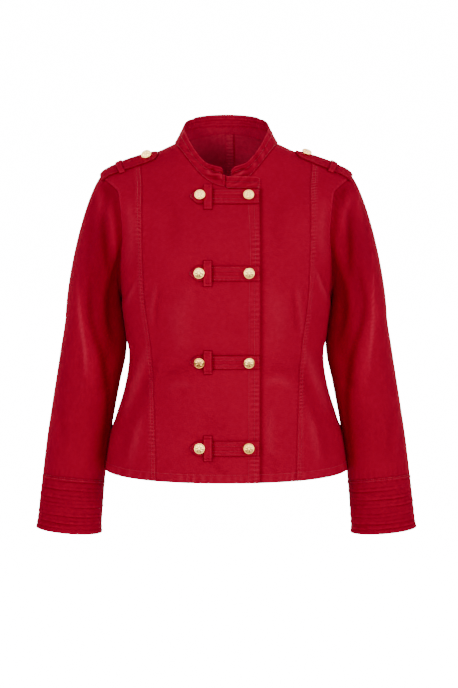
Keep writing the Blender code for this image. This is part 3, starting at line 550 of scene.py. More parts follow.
# %% [markdown]
# ### A wall with two faces
# Real cloth is a sheet with a thickness that shows at every free edge. A Solidify modifier could
# give it one, but here the inside needs a relief and a colour of its own, because the photo looks
# into the neck. So each piece is built as a closed wall: an inner face, an outer face and rims.

# %% Pieces of cloth
def grid_faces(rows, columns, closed):
    """Quads between the points of a grid; closed joins its last column to its first."""
    spans = columns if closed else columns - 1
    row, column = np.meshgrid(np.arange(rows - 1), np.arange(spans), indexing="ij")
    here, after = row * columns + column, row * columns + (column + 1) % columns
    return np.stack([here, after, after + columns, here + columns], axis=-1).reshape(-1, 4)


def wall_faces(rows, columns, closed):
    """Quads of a wall: its inner face, its outer face and its rims."""
    outer = grid_faces(rows, columns, closed)
    skin = rows * columns
    faces = [outer[:, ::-1], outer + skin]
    around = np.arange(columns if closed else columns - 1)
    for start, turned in ((0, False), ((rows - 1) * columns, True)):
        near, far = start + around, start + (around + 1) % columns
        rim = np.stack([near, far, far + skin, near + skin], axis=-1)
        faces.append(rim[:, ::-1] if turned else rim)
    if not closed:
        up = np.arange(rows - 1) * columns
        for start, turned in ((0, True), (columns - 1, False)):
            near, far = up + start, up + start + columns
            rim = np.stack([near, far, far + skin, near + skin], axis=-1)
            faces.append(rim[:, ::-1] if turned else rim)
    return np.vstack(faces)


def placed(name, data):
    """An object at the origin, in the scene."""
    made = bpy.data.objects.new(name, data)
    bpy.context.scene.collection.objects.link(made)
    return made


def mark(mesh, name, values):
    """Give each point of a mesh a number, or a vector, that materials or trees can read."""
    kind, field = ("FLOAT_VECTOR", "vector") if values.ndim == 2 else ("FLOAT", "value")
    mesh.attributes.new(name, kind, "POINT").data.foreach_set(
        field, values.reshape(-1).astype(np.float32))


def add_mesh(name, points, faces, finish, corners=None, worn=None, sharp=55.0):
    """A mesh object from points in millimetres; corners gives the cloth distances for its UVs."""
    mesh = bpy.data.meshes.new(name)
    mesh.from_pydata((points * MILLIMETRE).tolist(), [], faces.tolist())
    mesh.materials.append(finish)
    if corners is not None:
        layer = mesh.uv_layers.new(name="cloth")
        layer.data.foreach_set("uv", (corners * MILLIMETRE).reshape(-1).astype(np.float32))
    if worn is not None:
        mark(mesh, "worn", worn)
    mesh.shade_smooth()
    mesh.set_sharp_from_angle(angle=math.radians(sharp))
    return placed(name, mesh)


# The inside is painted a little paler. The reverse of the twill is paler, and this is also painted
# light that lifts the shaded inside.
INNER_PALER_AND_LIT = 0.12       # the reverse of the twill is a little paler


def outer_face(cloth, thickness, relief):
    return cloth.points + cloth.normals * (thickness + relief)[..., None]


def add_cloth(name, cloth, thickness, relief, worn, stands_for, inner_share=0.5, inside=None):
    """A piece of cloth with two faces, which stands for one node of the frame.

    The inner face follows the outer one by inner_share, or has its own relief, and wear and painted
    shading, inside."""
    back_relief, back_wear_and_shading = inside or (relief * inner_share, 0.35 * worn + INNER_PALER_AND_LIT)
    inner = cloth.points + cloth.normals * back_relief[..., None]
    outer = outer_face(cloth, thickness, relief)
    kept = np.s_[:, :-1] if cloth.around else np.s_[:, :]
    rows, columns = inner[kept].shape[:2]
    faces = wall_faces(rows, columns, cloth.around)
    points = np.vstack([inner[kept].reshape(-1, 3), outer[kept].reshape(-1, 3)])
    uv = np.stack([cloth.across, cloth.along], axis=-1)[kept].reshape(-1, 2)
    corners = np.vstack([uv, uv])[faces]
    if cloth.around:
        width = np.tile(cloth.across[:, -1], 2)[faces // columns]
        wraps = corners[..., 0].max(axis=1) - corners[..., 0].min(axis=1) > width.min(axis=1) / 2
        low = corners[..., 0] < width / 2
        corners[..., 0] += width * (wraps[:, None] & low)
    first, second, third = points[faces[:, 0]], points[faces[:, 1]], points[faces[:, 2]]
    if np.sum(first * np.cross(second, third)) < 0:
        faces, corners = faces[:, ::-1], corners[:, ::-1]
    both = np.concatenate([back_wear_and_shading[kept].reshape(-1), worn[kept].reshape(-1)])
    made = add_mesh(name, points, faces, TWILL, corners, both)
    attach(made, "root")
    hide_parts(stands_for)
    return made


print("faces of a wall of 3 x 3 points:", len(wall_faces(3, 3, closed=False)))

# %% [markdown]
# ### Where the thread will go
# The stitches are laid last, on the finished cloth, so each piece first notes the lines of its
# rows of stitches. Such a line lies on the relief, at a fixed distance from an edge, which is how
# a presser foot guides it.

# %% Lines for the stitches
SEAMS = {}      # the lines along which stitches are laid, by the object that they go into


def sew(group, cloth, thickness, relief, edges):
    """Note the stitch lines of the finished edges of a piece, on its outer face."""
    outer = outer_face(cloth, thickness, relief)
    for edge, name in edges:
        away, _ = from_edge(cloth, edge)
        by_rows = edge.endswith("column")
        backwards = edge.startswith("last")
        for distance in FINISHES[name].rows:
            grid, lift, gap = (outer, cloth.normals, away) if by_rows else (
                outer.swapaxes(0, 1), cloth.normals.swapaxes(0, 1), away.T)
            if backwards:
                grid, lift, gap = grid[:, ::-1], lift[:, ::-1], gap[:, ::-1]
            place = np.argmax(gap >= distance, axis=1)
            whole = place > 0
            rows = np.arange(len(grid))[whole]
            place = place[whole]
            before, after = gap[rows, place - 1], gap[rows, place]
            share = ((distance - before) / (after - before))[:, None]
            points = grid[rows, place - 1] * (1 - share) + grid[rows, place] * share
            if len(points) > 3:
                SEAMS.setdefault(group, []).append((points, lift[rows, place]))


print("rows of stitches beside a front edge, mm:", FINISHES["front edge"].rows)

# %% [markdown]
# ## Materials
# The jacket has three: the red twill, the thread of its topstitching and the brass of its
# buttons. Each is built from nodes rather than from a picture, so that it can be read and scaled.
# Colours are written as sRGB hex values, as in a paint program, and `linear` turns them into what
# a shader expects. The size of a pattern is given in millimetres, and `repeats` turns it into the
# scale that a texture wants.

# %% Nodes, colours and sizes
def linear(code):
    """A colour written as an sRGB hex value, as the linear numbers that the shaders want."""
    values = [int(code[at:at + 2], 16) / 255 for at in (1, 3, 5)]
    return tuple(v / 12.92 if v <= 0.04045 else ((v + 0.055) / 1.055)**2.4 for v in values) + (1,)


def repeats(size):
    """How often a pattern of that size in millimetres repeats in a metre."""
    return 1 / (size * MILLIMETRE)


def feed(tree, socket, value):
    """Link a node or an output to an input, or set the input's own value."""
    if isinstance(value, bpy.types.Node):
        value = next(result for result in value.outputs if result.enabled)
    if isinstance(value, bpy.types.NodeSocket):
        tree.links.new(value, socket)
    else:
        socket.default_value = value


def node(tree, kind, settings=(), *values, **named):
    """Add a node with its settings, and feed its inputs in their order or by their names."""
    made = tree.nodes.new(kind)
    for name, value in dict(settings).items():
        setattr(made, name, value)
    inputs = [socket for socket in made.inputs if socket.enabled]
    for socket, value in zip(inputs, values):
        feed(tree, socket, value)
    for name, value in named.items():
        label = name.replace("_", " ")
        feed(tree, next(socket for socket in inputs if socket.name == label), value)
    return made


def new_material(name, **values):
    """A material whose even values are set on its shader's own sockets."""
    made = bpy.data.materials.new(name)
    made.use_nodes = True
    shader = made.node_tree.nodes["Principled BSDF"]
    for label, value in values.items():
        shader.inputs[label.replace("_", " ")].default_value = value
    return made, made.node_tree, shader.inputs


MATH, MIX = "ShaderNodeMath", "ShaderNodeMix"
NOISE, BUMP, PLACE = "ShaderNodeTexNoise", "ShaderNodeBump", "ShaderNodeTexCoord"
ADD, SUBTRACT, MULTIPLY, MULTIPLY_ADD, LESSER, GREATER = (
    {"operation": name}
    for name in ("ADD", "SUBTRACT", "MULTIPLY", "MULTIPLY_ADD", "MINIMUM", "MAXIMUM"))
COLOURS = {"data_type": "RGBA"}
print("the deep red, linear:", [round(value, 4) for value in linear("#680010")])

# %% [markdown]
# ### Red cotton twill
# The jacket was dyed after it was sewn. The dye takes less well on ridges and seam edges, and
# washing rubs them paler, while the folds keep the deep red. That deep red in the folds is partly
# painted shade. So one number at each point, an attribute, runs from -1 in the troughs to 1 on the
# ridges and moves the colour between a deep and a pale red. A slow noise adds the cloudy dyeing
# and a fast one the slub of the yarn.
# The diagonal lines of a real twill of this weight lie 0.9 mm apart, which is half a pixel of the
# photo, so they are drawn about three times as coarse, just enough to show as a grain.

# %% Twill
CLOUD, MOTTLE, SLUB = 91.0, 6.25, 1.11  # cloudy dyeing, rubbed patches and thick yarn, mm
WALE_SPACING = 2.78                     # between the twill's lines: 0.9 on the real one, mm
WALE_ANGLE = 63.0                       # how steeply they climb, degrees
WAVE_BANDS = math.pi / 10               # a wave texture of this scale has one band in a metre


def red_twill():
    """Cotton twill: carded, spun, woven two up and two down, then dyed in the garment."""
    # Weaving leaves a face of short fibres, so the eye finds it matt and soft, with next to no
    # gloss and a faint pink sheen where it turns away. The dye bath leaves it cloudy.
    made, tree, shader = new_material(
        "garment-dyed red cotton twill", Roughness=0.86, Specular_IOR_Level=0.033,
        Sheen_Weight=0.03, Sheen_Roughness=0.5, Sheen_Tint=linear("#FF5A6E"))
    place = node(tree, PLACE).outputs["Object"]
    worn = node(tree, "ShaderNodeAttribute", {"attribute_name": "worn"}).outputs["Fac"]
    cloudy = node(tree, NOISE, Vector=place, Scale=repeats(CLOUD), Detail=3.0)
    mottle = node(tree, NOISE, Vector=place, Scale=repeats(MOTTLE), Detail=3.0, Roughness=0.6)
    slub = node(tree, NOISE, Vector=place, Scale=repeats(SLUB), Detail=2.0)
    patchy = node(tree, MATH, MULTIPLY_ADD, mottle, 1.2, 0.5)
    rubbed = node(tree, MATH, MULTIPLY, node(tree, MATH, GREATER, worn, 0.0), patchy)
    # The troughs turn towards the deep red: partly dye that stayed in the folds, partly painted
    # shade.
    kept = node(tree, MATH, GREATER, node(tree, MATH, MULTIPLY, worn, -1.0), 0.0)
    spotted = node(tree, MATH, SUBTRACT, mottle, 0.38)
    colour = node(tree, MIX, COLOURS, cloudy, linear("#980225"), linear("#A4042A"))
    for source, strength, most, tint in (
            (spotted, 0.7, 1.0, "#B41235"), (slub, 0.12, 1.0, "#7C001A"),
            (rubbed, 0.7, 0.8, "#CE324C"), (kept, 0.9, 0.9, "#680010")):
        share = node(tree, MATH, LESSER, node(tree, MATH, MULTIPLY, source, strength), most)
        colour = node(tree, MIX, COLOURS, share, colour, linear(tint))
    feed(tree, shader["Base Color"], colour)
    turned = node(tree, "ShaderNodeMapping", Vector=node(tree, "ShaderNodeUVMap",
                                                         {"uv_map": "cloth"}),
                  Rotation=(0.0, 0.0, math.radians(WALE_ANGLE)))
    wales = node(tree, "ShaderNodeTexWave", Vector=turned, Distortion=0.6, Detail=1.0,
                 Scale=WAVE_BANDS * repeats(WALE_SPACING))
    coarse = node(tree, BUMP, Strength=0.35, Distance=0.8 * MILLIMETRE, Height=mottle)
    feed(tree, shader["Normal"], node(tree, BUMP, Strength=0.5, Distance=0.18 * MILLIMETRE,
                                      Height=wales.outputs["Fac"], Normal=coarse))
    return made


TWILL = red_twill()
print("material:", TWILL.name, "with", len(TWILL.node_tree.nodes), "nodes")

# %% [markdown]
# ### Thread
# The topstitching is sewn with a thread that takes the same dye a little differently, so it is
# close to the cloth and patchy. Its strands are bump, because one is a tenth of a pixel wide.

# %% Thread
DYE_PATCH, STRAND = 4.55, 0.385         # patches of dye along the thread and its strands, mm


def red_thread():
    """Corespun thread: polyester filaments wrapped in cotton, dyed with the garment."""
    # Spinning twists the filaments together, so the eye finds it smoother and a little glossier
    # than the cloth, with short glints across each stitch.
    made, tree, shader = new_material("red corespun thread", Roughness=0.6)
    place = node(tree, PLACE).outputs["Object"]
    patchy = node(tree, NOISE, Vector=place, Scale=repeats(DYE_PATCH), Detail=2.0)
    strands = node(tree, NOISE, Vector=place, Scale=repeats(STRAND), Detail=1.0)
    feed(tree, shader["Base Color"],
         node(tree, MIX, COLOURS, patchy, linear("#8A011E"), linear("#A60C2C")))
    feed(tree, shader["Normal"],
         node(tree, BUMP, Strength=0.4, Distance=0.1 * MILLIMETRE, Height=strands))
    return made


THREAD = red_thread()
print("material:", THREAD.name)

# %% [markdown]
# ### Brass
# Gold plating wears bright on the heights of the stamping and stays brown in its hollows. The
# attribute `hollow` tells the two apart, and slow spots of tarnish make no two buttons alike.

# %% Brass
TARNISH, SCUFF = 77.0, 1.43             # patches of tarnish and marks of tumbling, mm


def gold_brass():
    """Brass: stamped, gold plated, tumbled and lacquered."""
    # Tumbling polishes the heights and leaves fine scuffs, so the eye finds bright pale gold
    # with soft edges to what it mirrors. The lacquer dims it, hence not wholly metallic.
    made, tree, shader = new_material("pale gold plated brass", Metallic=0.85)
    place = node(tree, PLACE).outputs["Object"]
    hollow = node(tree, "ShaderNodeAttribute", {"attribute_name": "hollow"}).outputs["Fac"]
    spots = node(tree, NOISE, Vector=place, Scale=repeats(SCUFF), Detail=3.0)
    slow = node(tree, NOISE, Vector=place, Scale=repeats(TARNISH), Detail=1.0)
    tarnish = node(tree, "ShaderNodeMapRange", Value=slow, From_Min=0.42, From_Max=0.62)
    colour = node(tree, MIX, COLOURS, spots, linear("#F8BE50"), linear("#FFE08A"))
    for source, strength, tint in ((tarnish, 0.70, "#CE8A3E"), (hollow, 0.95, "#462C0C")):
        share = node(tree, MATH, MULTIPLY, source, strength)
        colour = node(tree, MIX, COLOURS, share, colour, linear(tint))
    feed(tree, shader["Base Color"], colour)
    feed(tree, shader["Roughness"], node(tree, MATH, MULTIPLY_ADD, spots, 0.12, 0.10))
    feed(tree, shader["Normal"],
         node(tree, BUMP, Strength=0.25, Distance=0.1 * MILLIMETRE, Height=spots))
    return made


BRASS = gold_brass()
print("material:", BRASS.name)

# %% [markdown]
# ## Fronts and backs
# The two centre fronts overlap at the middle, and the wearer's right one lies on top. The side
# fronts carry the raised, twice stitched side of the princess seam. All six panels lie on the
# rings, lifted a little where they cover another or swell against a sleeve.

# %% Where panels stand off the rings
SIDE_LIFT, SIDE_LIFT_WIDTH = 2.8, 20.0      # height in mm and width in degrees of turn


def lap_lift(points):
    """How far the right front stands off the body so that it clears the left front beneath."""
    x, y, z = np.moveaxis(points, -1, 0)
    over_front = ease(x, -132.0, -56.0) * (1 - ease(z, -70.0, -44.0))
    at_neck = ease(x, -40.0, -6.0) * (y < 0)
    return LAP * (over_front + at_neck - over_front * at_neck)


def side_lift(places, points):
    """How far the sides swell, below the armholes and at the hem, until they touch the sleeves."""
    z = points[..., 2]
    under_arm = ease(z, -346.0, -322.0) * (1 - ease(z, -270.0, -252.0))
    at_hem = 1 - ease(z, -488.0, -462.0)
    return SIDE_LIFT * (under_arm + at_hem) * beside(np.abs(places[..., 0]) - 90.0, SIDE_LIFT_WIDTH)


def panel_cloth(places, laps_over=False):
    turn, level = np.moveaxis(places, -1, 0)
    points, normals = body_point(turn, level), body_normal(turn, level)
    lift = side_lift(places, points)
    if laps_over:
        lift = lift + lap_lift(points)
    return measured(points + normals * lift[..., None], normals)


print("lap at the middle of the chest, mm:", round(float(lap_lift(np.array([0.0, -140, -200]))), 2))

# %% [markdown]
# ### Creases of the body
# A fitted jacket hangs from its shoulders and is held at the waist. So its creases fan out from
# the bust, break across the waist and run up and down below it.

# %% Creases of the fronts and backs
# Creases of the fronts and backs: width and height, then places as (x, z) in millimetres. Each
# side has its own, because no two sides of a garment crease alike.
FRONT_CREASES = {
    -1: (
        # width height  places
        (3.8,  0.7, (-146, -222), (-155, -240), (-165, -262)),
        (4.0, -0.6, (-152, -226), (-161, -243), (-168, -258)),
        (4.0,  0.45, (-113, -226), (-118, -254), (-122, -288)),
        (5.0, -0.5, (-107, -232), (-112, -262), (-113, -296)),
        (7.0,  1.3, (-129, -338), (-150, -398), (-167, -446)),
        (9.0, -1.1, (-116, -352), (-138, -414), (-146, -452)),
        (6.0,  0.8, (-138, -436), (-147, -475), (-158, -520)),
        (7.0, -0.8, (-154, -440), (-164, -480), (-172, -516)),
        (9.0, -0.9, (-58, -372), (-80, -366), (-104, -378)),
        (6.0,  0.3, (-52, -392), (-74, -388), (-96, -398)),
        (12.0, -1.0, (-92, -96), (-84, -130), (-88, -172)),
        (16.0, 1.0, (-62, -240), (-76, -276), (-70, -330)),
        (8.0,  0.8, (-160, -92), (-154, -130), (-158, -190)),
        (5.0, -0.6, (-24, -506), (-10, -524), (2, -532)),
        (8.0, -0.6, (-30, -440), (-8, -456), (10, -458))),
    1: (
        (3.8,  0.7, (145, -203), (155, -228), (165, -254)),
        (4.2, -0.6, (152, -206), (162, -230), (170, -250)),
        (4.0,  0.5, (115, -230), (119, -267), (124, -306)),
        (5.0, -0.6, (109, -236), (112, -268), (115, -308)),
        (7.5,  1.2, (128, -336), (149, -392), (166, -438)),
        (9.0, -1.0, (114, -350), (136, -406), (148, -450)),
        (6.0,  0.8, (134, -430), (143, -470), (152, -516)),
        (7.0, -0.7, (150, -444), (160, -482), (168, -520)),
        (9.0, -0.9, (66, -366), (88, -362), (110, -374)),
        (6.0,  0.6, (62, -388), (84, -382), (104, -394)),
        (12.0, -1.0, (90, -94), (82, -126), (86, -168)),
        (16.0, 1.0, (72, -236), (84, -276), (78, -322)),
        (8.0,  0.8, (160, -94), (155, -132), (160, -186)),
        (5.0, -0.5, (66, -500), (80, -516), (84, -532)),
        (7.0,  0.6, (72, -430), (70, -470), (76, -508))),
}
BACK_CREASES = {
    -1: (
        (9.0,  1.4, (-156, -112), (-150, -160), (-158, -226)),
        (8.0, -1.2, (-142, -120), (-136, -170), (-146, -236)),
        (8.0, -0.9, (-20, -336), (-58, -340), (-104, -352)),
        (7.0,  0.6, (-14, -358), (-52, -364), (-96, -378)),
        (6.0, -0.7, (-40, -384), (-78, -390), (-122, -386)),
        (12.0, -0.9, (-58, -94), (-70, -130), (-66, -178)),
        (11.0, 1.2, (-112, -404), (-124, -462), (-130, -528)),
        (13.0, -0.9, (-60, -410), (-62, -470), (-70, -530))),
    1: (
        (9.0,  1.3, (158, -108), (152, -156), (160, -220)),
        (8.0, -1.1, (144, -118), (138, -166), (150, -228)),
        (8.0, -0.8, (18, -352), (56, -346), (92, -334)),
        (7.0,  0.6, (16, -376), (66, -370), (128, -350)),
        (6.0, -0.6, (60, -398), (92, -388), (132, -378)),
        (12.0, -0.9, (64, -98), (74, -136), (72, -184)),
        (11.0, 1.2, (116, -398), (126, -458), (136, -522)),
        (13.0, -1.0, (64, -416), (62, -474), (72, -534))),
}
CREASE_DEPTH = 1.6      # one factor for the creases of the body
print("creases of the body:", sum(len(rows) for table in (FRONT_CREASES, BACK_CREASES)
                                  for rows in table.values()))

# %% [markdown]
# ### The six panels
# Each panel gets its finished edges, its creases and, at the centre back, the felled allowance
# that shows inside the neck. A felled seam has both allowances turned to one side and sewn down,
# so nothing frays inside a jacket without a lining.

# %% Body panels
FLATS = {}      # width and length in mm and area in square cm of each piece, laid flat
FELL = 13.0     # width of the felled allowance that shows inside, beside the centre back seam
# The right front's edge casts a painted shadow on the left front beside it.
LAP_SHADOW_PAINT = (2.5, 3.4, 0.55)      # deep colour past the lap's edge: where, half width, strength


def felled(cloth, relief, worn, side):
    """Relief, and wear and painted shading, of the inside of a back, whose allowances are all
    turned to the left.
    """
    away, run = from_edge(cloth, "first column")
    wave = ripple(run, 5.2, 4.1)
    strip = (1 - ease(away, FELL - 0.7, FELL + 0.7)) * (side > 0)
    groove = beside(away - FELL, 1.1) * (side > 0)
    relief = 0.5 * relief - strip * (0.35 + 0.12 * wave)
    # The inside is painted paler, as painted light in the shaded neck. The felled strip is paler
    # still with its puckers, and the edge of the fell is darker, as painted shade.
    worn = 0.3 * worn + 0.42 + strip * (0.10 + 0.22 * wave) - 0.9 * groove
    return relief, np.clip(worn, -1, 1)


def painted_lap_shadow(cloth):
    """Painted shadow of the lap on the left front, just beside the edge that laps over it."""
    x, y, z = np.moveaxis(cloth.points, -1, 0)
    place, width, strength = LAP_SHADOW_PAINT
    return strength * beside(x - LAP_EDGE_X - place, width) * (y < 0) * (z < LAP_TOP_Z)


def declare_sheet(made, cloth):
    width, length = cloth.across[:, -1].max(), cloth.along[-1].max()
    sides = np.linalg.norm(np.cross(np.diff(cloth.points, axis=1)[:-1],
                                    np.diff(cloth.points, axis=0)[:, :-1]), axis=2)
    area = sides.sum()
    FLATS[made.name] = (width, length, area / 100)


def add_panel(name, cloth, first_edge, last_edge, creases, group, seed):
    edges = (("first column", first_edge), ("last column", last_edge),
             ("first row", "hem"), ("last row", "shoulder"))
    relief, worn = made_up(cloth, edges, seed)
    # The left front gets the lap's painted shadow.
    if name == "front_left_centre":
        worn = worn - painted_lap_shadow(cloth)
    folds, crease_shading = creased(cloth.points[..., 0], cloth.points[..., 2], creases)
    relief = relief + CREASE_DEPTH * folds
    worn = np.clip(worn + CREASE_DEPTH * crease_shading, -1, 1)
    back_side = np.sign(cloth.points[..., 0].mean())
    inside = felled(cloth, relief, worn, back_side) if name.startswith("back") else None
    made = add_cloth(name + "_cloth", cloth, CLOTH, relief, worn, name, inside=inside)
    sew(group, cloth, CLOTH, relief, edges)
    declare_sheet(made, cloth)


WORDS = ((-1, "right"), (1, "left"))
for side, word in WORDS:
    edge_x = LAP_EDGE_X if side < 0 else UNDER_EDGE_X
    centre = panel_cloth(centre_front(side, edge_x), laps_over=side < 0)
    add_panel(f"front_{word}_centre", centre, "front edge", "plain seam",
              FRONT_CREASES[side], "stitches_fronts", 1.0 + side)
    add_panel(f"front_{word}_side", panel_cloth(side_front(side)), "strap seam", "armhole",
              FRONT_CREASES[side], "stitches_fronts", 4.0 + side)
    add_panel(f"back_{word}", panel_cloth(half_back(side)), "centre back", "armhole",
              BACK_CREASES[side], "stitches_backs", 7.0 + side)
for name, (width, length, area) in FLATS.items():
    print(f"{name}: {width:.0f} x {length:.0f} mm, {area:.0f} cm2")

# %% [markdown]
# ## Sleeves and cuffs
# A sleeve is drafted with a head that is longer than the armhole, so that it turns over the
# shoulder tip. A tube cut off at the armhole would meet it with a hard edge. So each column of
# this sleeve leaves the armhole's seam along a curve of its own and lands on the ring at the
# biceps, and from there the rings follow the arm's axis down to the cuff.

# %% Measures of the sleeves
# The sleeve's axis and cross-section below the armhole, for the wearer's left arm.
SLEEVE = np.array([
    # z       x      y      half_width half_depth
    (-292.0,  222.6,   2.0, 48.6,      60.0),    # biceps
    (-335.0,  224.3,   3.0, 53.5,      61.0),
    (-390.0,  234.2,   2.0, 52.5,      60.5),
    (-450.0,  244.6,  -3.0, 51.7,      58.0),    # elbow
    (-505.0,  253.1, -11.0, 51.3,      53.5),
    (-560.0,  259.4, -20.0, 51.3,      48.0),    # top of the cuff
    (-595.0,  262.9, -24.0, 51.9,      44.0),
    (-627.0,  265.9, -25.6, 52.6,      41.5),
    (-638.0,  266.9, -25.9, 52.9,      41.0),
    (-650.5,  268.0, -26.1, 54.4,      42.0),    # hem of the sleeve
])
BICEPS_Z, CUFF_TOP_Z, CUFF_HEM_Z = -292.0, -560.0, -650.5

# How the sleeve head leaves the armhole (reach, slope below level) and how far up it is already
# parallel to the arm, at the shoulder tip, at the front and back, and under the arm.
SLEEVE_HEAD = np.array([
    # turn   reach  slope  run_in
    (0.0,    40.0,  52.0,   80.0),
    (90.0,   26.0,  44.0,   52.0),
    (135.0,  16.0,  38.0,   26.0),
    (180.0,  12.0,  38.0,   10.0),
])
UNDERARM_TURN = (90.0, 165.0)   # between these the seam turns to face the arm's inside
UNDERARM_RISE = 0.6             # how steeply the sleeve climbs before it turns down
SLEEVE_COLUMNS = 104
half_turn = np.linspace(0.0, 180.0, SLEEVE_COLUMNS // 2 + 1)[:-1]
SLEEVE_ANGLES = np.concatenate([half_turn, 180.0 + half_turn])  # 0 outside, 90 front, 180 inside
print("sleeve from the biceps to the cuff, mm:", BICEPS_Z - CUFF_TOP_Z)

# %% [markdown]
# ### Folds of an empty arm
# With no arm inside, the front of a sleeve falls into one long hollow and a few drag lines from
# the shoulder. The largest folds are in the solids too. The finer ones are only here.

# %% Folds, creases and shades of the sleeves
# Soft folds of the sleeve that the solids have too: angle round it, span, width and depth.
SLEEVE_FOLDS = (
    # angle  z_top   z_foot  width  depth
    (128.0,  -130.0, -400.0, 15.0,  -5.0),
    (100.0,  -150.0, -330.0, 13.0,   3.0),
    (72.0,   -170.0, -400.0, 14.0,  -3.0),
    (235.0,  -140.0, -390.0, 16.0,  -4.0),
    (275.0,  -160.0, -360.0, 15.0,   2.5),
)

# Creases of the sleeves: width and height, then places as angle round the sleeve (0 outside, 90
# front, 180 inside) and z. One degree is about a millimetre of cloth.
SLEEVE_CREASES = {
    -1: (
        # width height  places
        (7.5, -3.2, (60, -205), (80, -268), (98, -323), (120, -368), (141, -420), (149, -520)),
        (3.0,  1.0, (40, -214), (62, -275), (76, -333), (88, -384)),
        (9.0,  1.6, (44, -236), (66, -300), (84, -356), (108, -412)),
        (6.0, -2.2, (50, -86), (66, -110), (90, -152)),
        (6.0, -2.2, (40, -112), (68, -158), (100, -208)),
        (4.5,  1.3, (42, -94), (68, -131), (104, -184)),
        (4.0, -1.1, (16, -62), (34, -82), (46, -106)),
        (4.5,  1.0, (10, -64), (28, -90), (42, -130)),
        (7.0, -1.0, (12, -84), (34, -140), (52, -196)),
        (9.0, -1.6, (112, -230), (128, -300), (146, -350)),
        (6.0,  1.0, (98, -236), (112, -286), (126, -330)),
        (6.0, -0.4, (150, -374), (126, -400), (98, -404)),
        (6.0,  0.4, (148, -398), (124, -420), (96, -424)),
        (7.0, -0.8, (40, -430), (62, -470), (70, -520)),
        (8.0,  0.7, (24, -400), (44, -450), (50, -510)),
        (9.0,  1.6, (250, -150), (268, -220), (290, -300)),
        (8.0, -1.6, (228, -300), (262, -360), (300, -396)),
        (7.0,  1.4, (224, -330), (258, -388), (296, -420)),
        (7.0, -1.2, (320, -90), (300, -150), (286, -220)),
        (7.0,  1.0, (330, -84), (314, -140), (306, -210))),
    1: (
        (7.5, -3.2, (66, -206), (74, -263), (96, -323), (116, -368), (136, -424), (147, -522)),
        (3.0,  1.0, (12, -120), (32, -191), (58, -256), (69, -323), (80, -372)),
        (9.0,  1.5, (46, -230), (60, -290), (80, -350), (104, -410)),
        (6.0, -2.2, (50, -86), (66, -110), (88, -150)),
        (6.0, -2.4, (40, -110), (64, -158), (90, -212)),
        (4.5,  1.3, (26, -82), (48, -108), (72, -144)),
        (4.0, -1.1, (18, -60), (36, -80), (48, -104)),
        (4.5,  1.0, (6, -70), (20, -96), (30, -136)),
        (7.0, -0.9, (10, -90), (24, -150), (40, -214)),
        (9.0, -1.6, (110, -226), (124, -292), (144, -346)),
        (6.0,  1.0, (96, -232), (108, -280), (124, -326)),
        (6.0, -0.4, (148, -372), (122, -396), (94, -404)),
        (6.0,  0.4, (146, -396), (120, -416), (90, -424)),
        (7.0, -0.8, (38, -436), (60, -474), (72, -524)),
        (8.0,  0.7, (22, -404), (42, -456), (50, -516)),
        (9.0,  1.6, (252, -146), (266, -216), (284, -296)),
        (8.0, -1.5, (230, -306), (260, -366), (296, -402)),
        (7.0,  1.4, (226, -336), (256, -392), (292, -426)),
        (7.0, -1.2, (322, -94), (304, -156), (288, -226)),
        (7.0,  1.0, (332, -88), (318, -146), (308, -216))),
}


# Painted shade on the sleeves, in the long hollow of the empty arm: width and how dark, then
# places as angle and z.
SLEEVE_HOLLOW_SHADE = {
    -1: (
        (20.0, -0.42, (52, -132), (78, -196), (104, -262), (124, -330), (138, -400)),
        (14.0, -0.30, (88, -150), (116, -236), (136, -316)),
        (16.0, -0.20, (140, -400), (150, -470), (154, -540))),
    1: (
        (20.0, -0.38, (50, -130), (74, -196), (100, -262), (120, -330), (134, -400)),
        (14.0, -0.26, (84, -150), (112, -236), (132, -316)),
        (16.0, -0.18, (136, -400), (146, -470), (150, -540))),
}
HEAD_SINK = (8.0, 9.0, 1.3)     # the hollow beside the seam of the head: place, width, depth
# The sleeves and cuffs are painted darker than the fronts, as painted shade. The sleeves' creases
# are rubbed paler on their ridges and painted darker in their troughs, as painted shade.
SLEEVE_SHADE_DARKER, CUFF_SHADE_DARKER = 0.20, 0.30     # sleeves hold deeper colour than the fronts
SLEEVE_CREASE_SHADING = 1.4                       # how strongly their creases show in the colour
print("creases of a sleeve:", len(SLEEVE_CREASES[1]))

# %% [markdown]
# ### Setting the sleeves in
# The underarm is the hard part: there the sleeve starts inwards and up before it turns down, as a
# real one does where its seam is pushed into the armpit.

# %% Sleeves
def sleeve_section(z, side):
    """Centre, two cross axes and two half sizes of the sleeve where its axis is at height z."""
    z = np.asarray(z, float)
    table = SLEEVE[::-1]
    x, y, half_width, half_depth = np.moveaxis(read(table, z), -1, 0)
    step = 4.0
    ahead, behind = read(table, z - step), read(table, z + step)
    down = unit(np.stack([ahead[..., 0] - behind[..., 0], ahead[..., 1] - behind[..., 1],
                          np.full(z.shape, -2 * step)], axis=-1))
    forward = unit(np.array([0.0, -1.0, 0.0]) - down * (-down[..., 1:2]))
    outward = unit(np.cross(forward, down))
    centre = np.stack([x, y, z], axis=-1)
    flip = np.array([side, 1.0, 1.0])
    return centre * flip, outward * flip, forward * flip, half_width, half_depth, down * flip


def sleeve_rings(heights, angles, side):
    """Points of the sleeve below the armhole, for angles of 0 outside and 90 in front."""
    centre, outward, forward, half_width, half_depth, _ = sleeve_section(heights, side)
    cosine, sine = np.cos(np.radians(angles)), np.sin(np.radians(angles))
    return (centre[:, None] + outward[:, None] * (half_width[:, None] * cosine)[..., None]
            + forward[:, None] * (half_depth[:, None] * sine)[..., None])


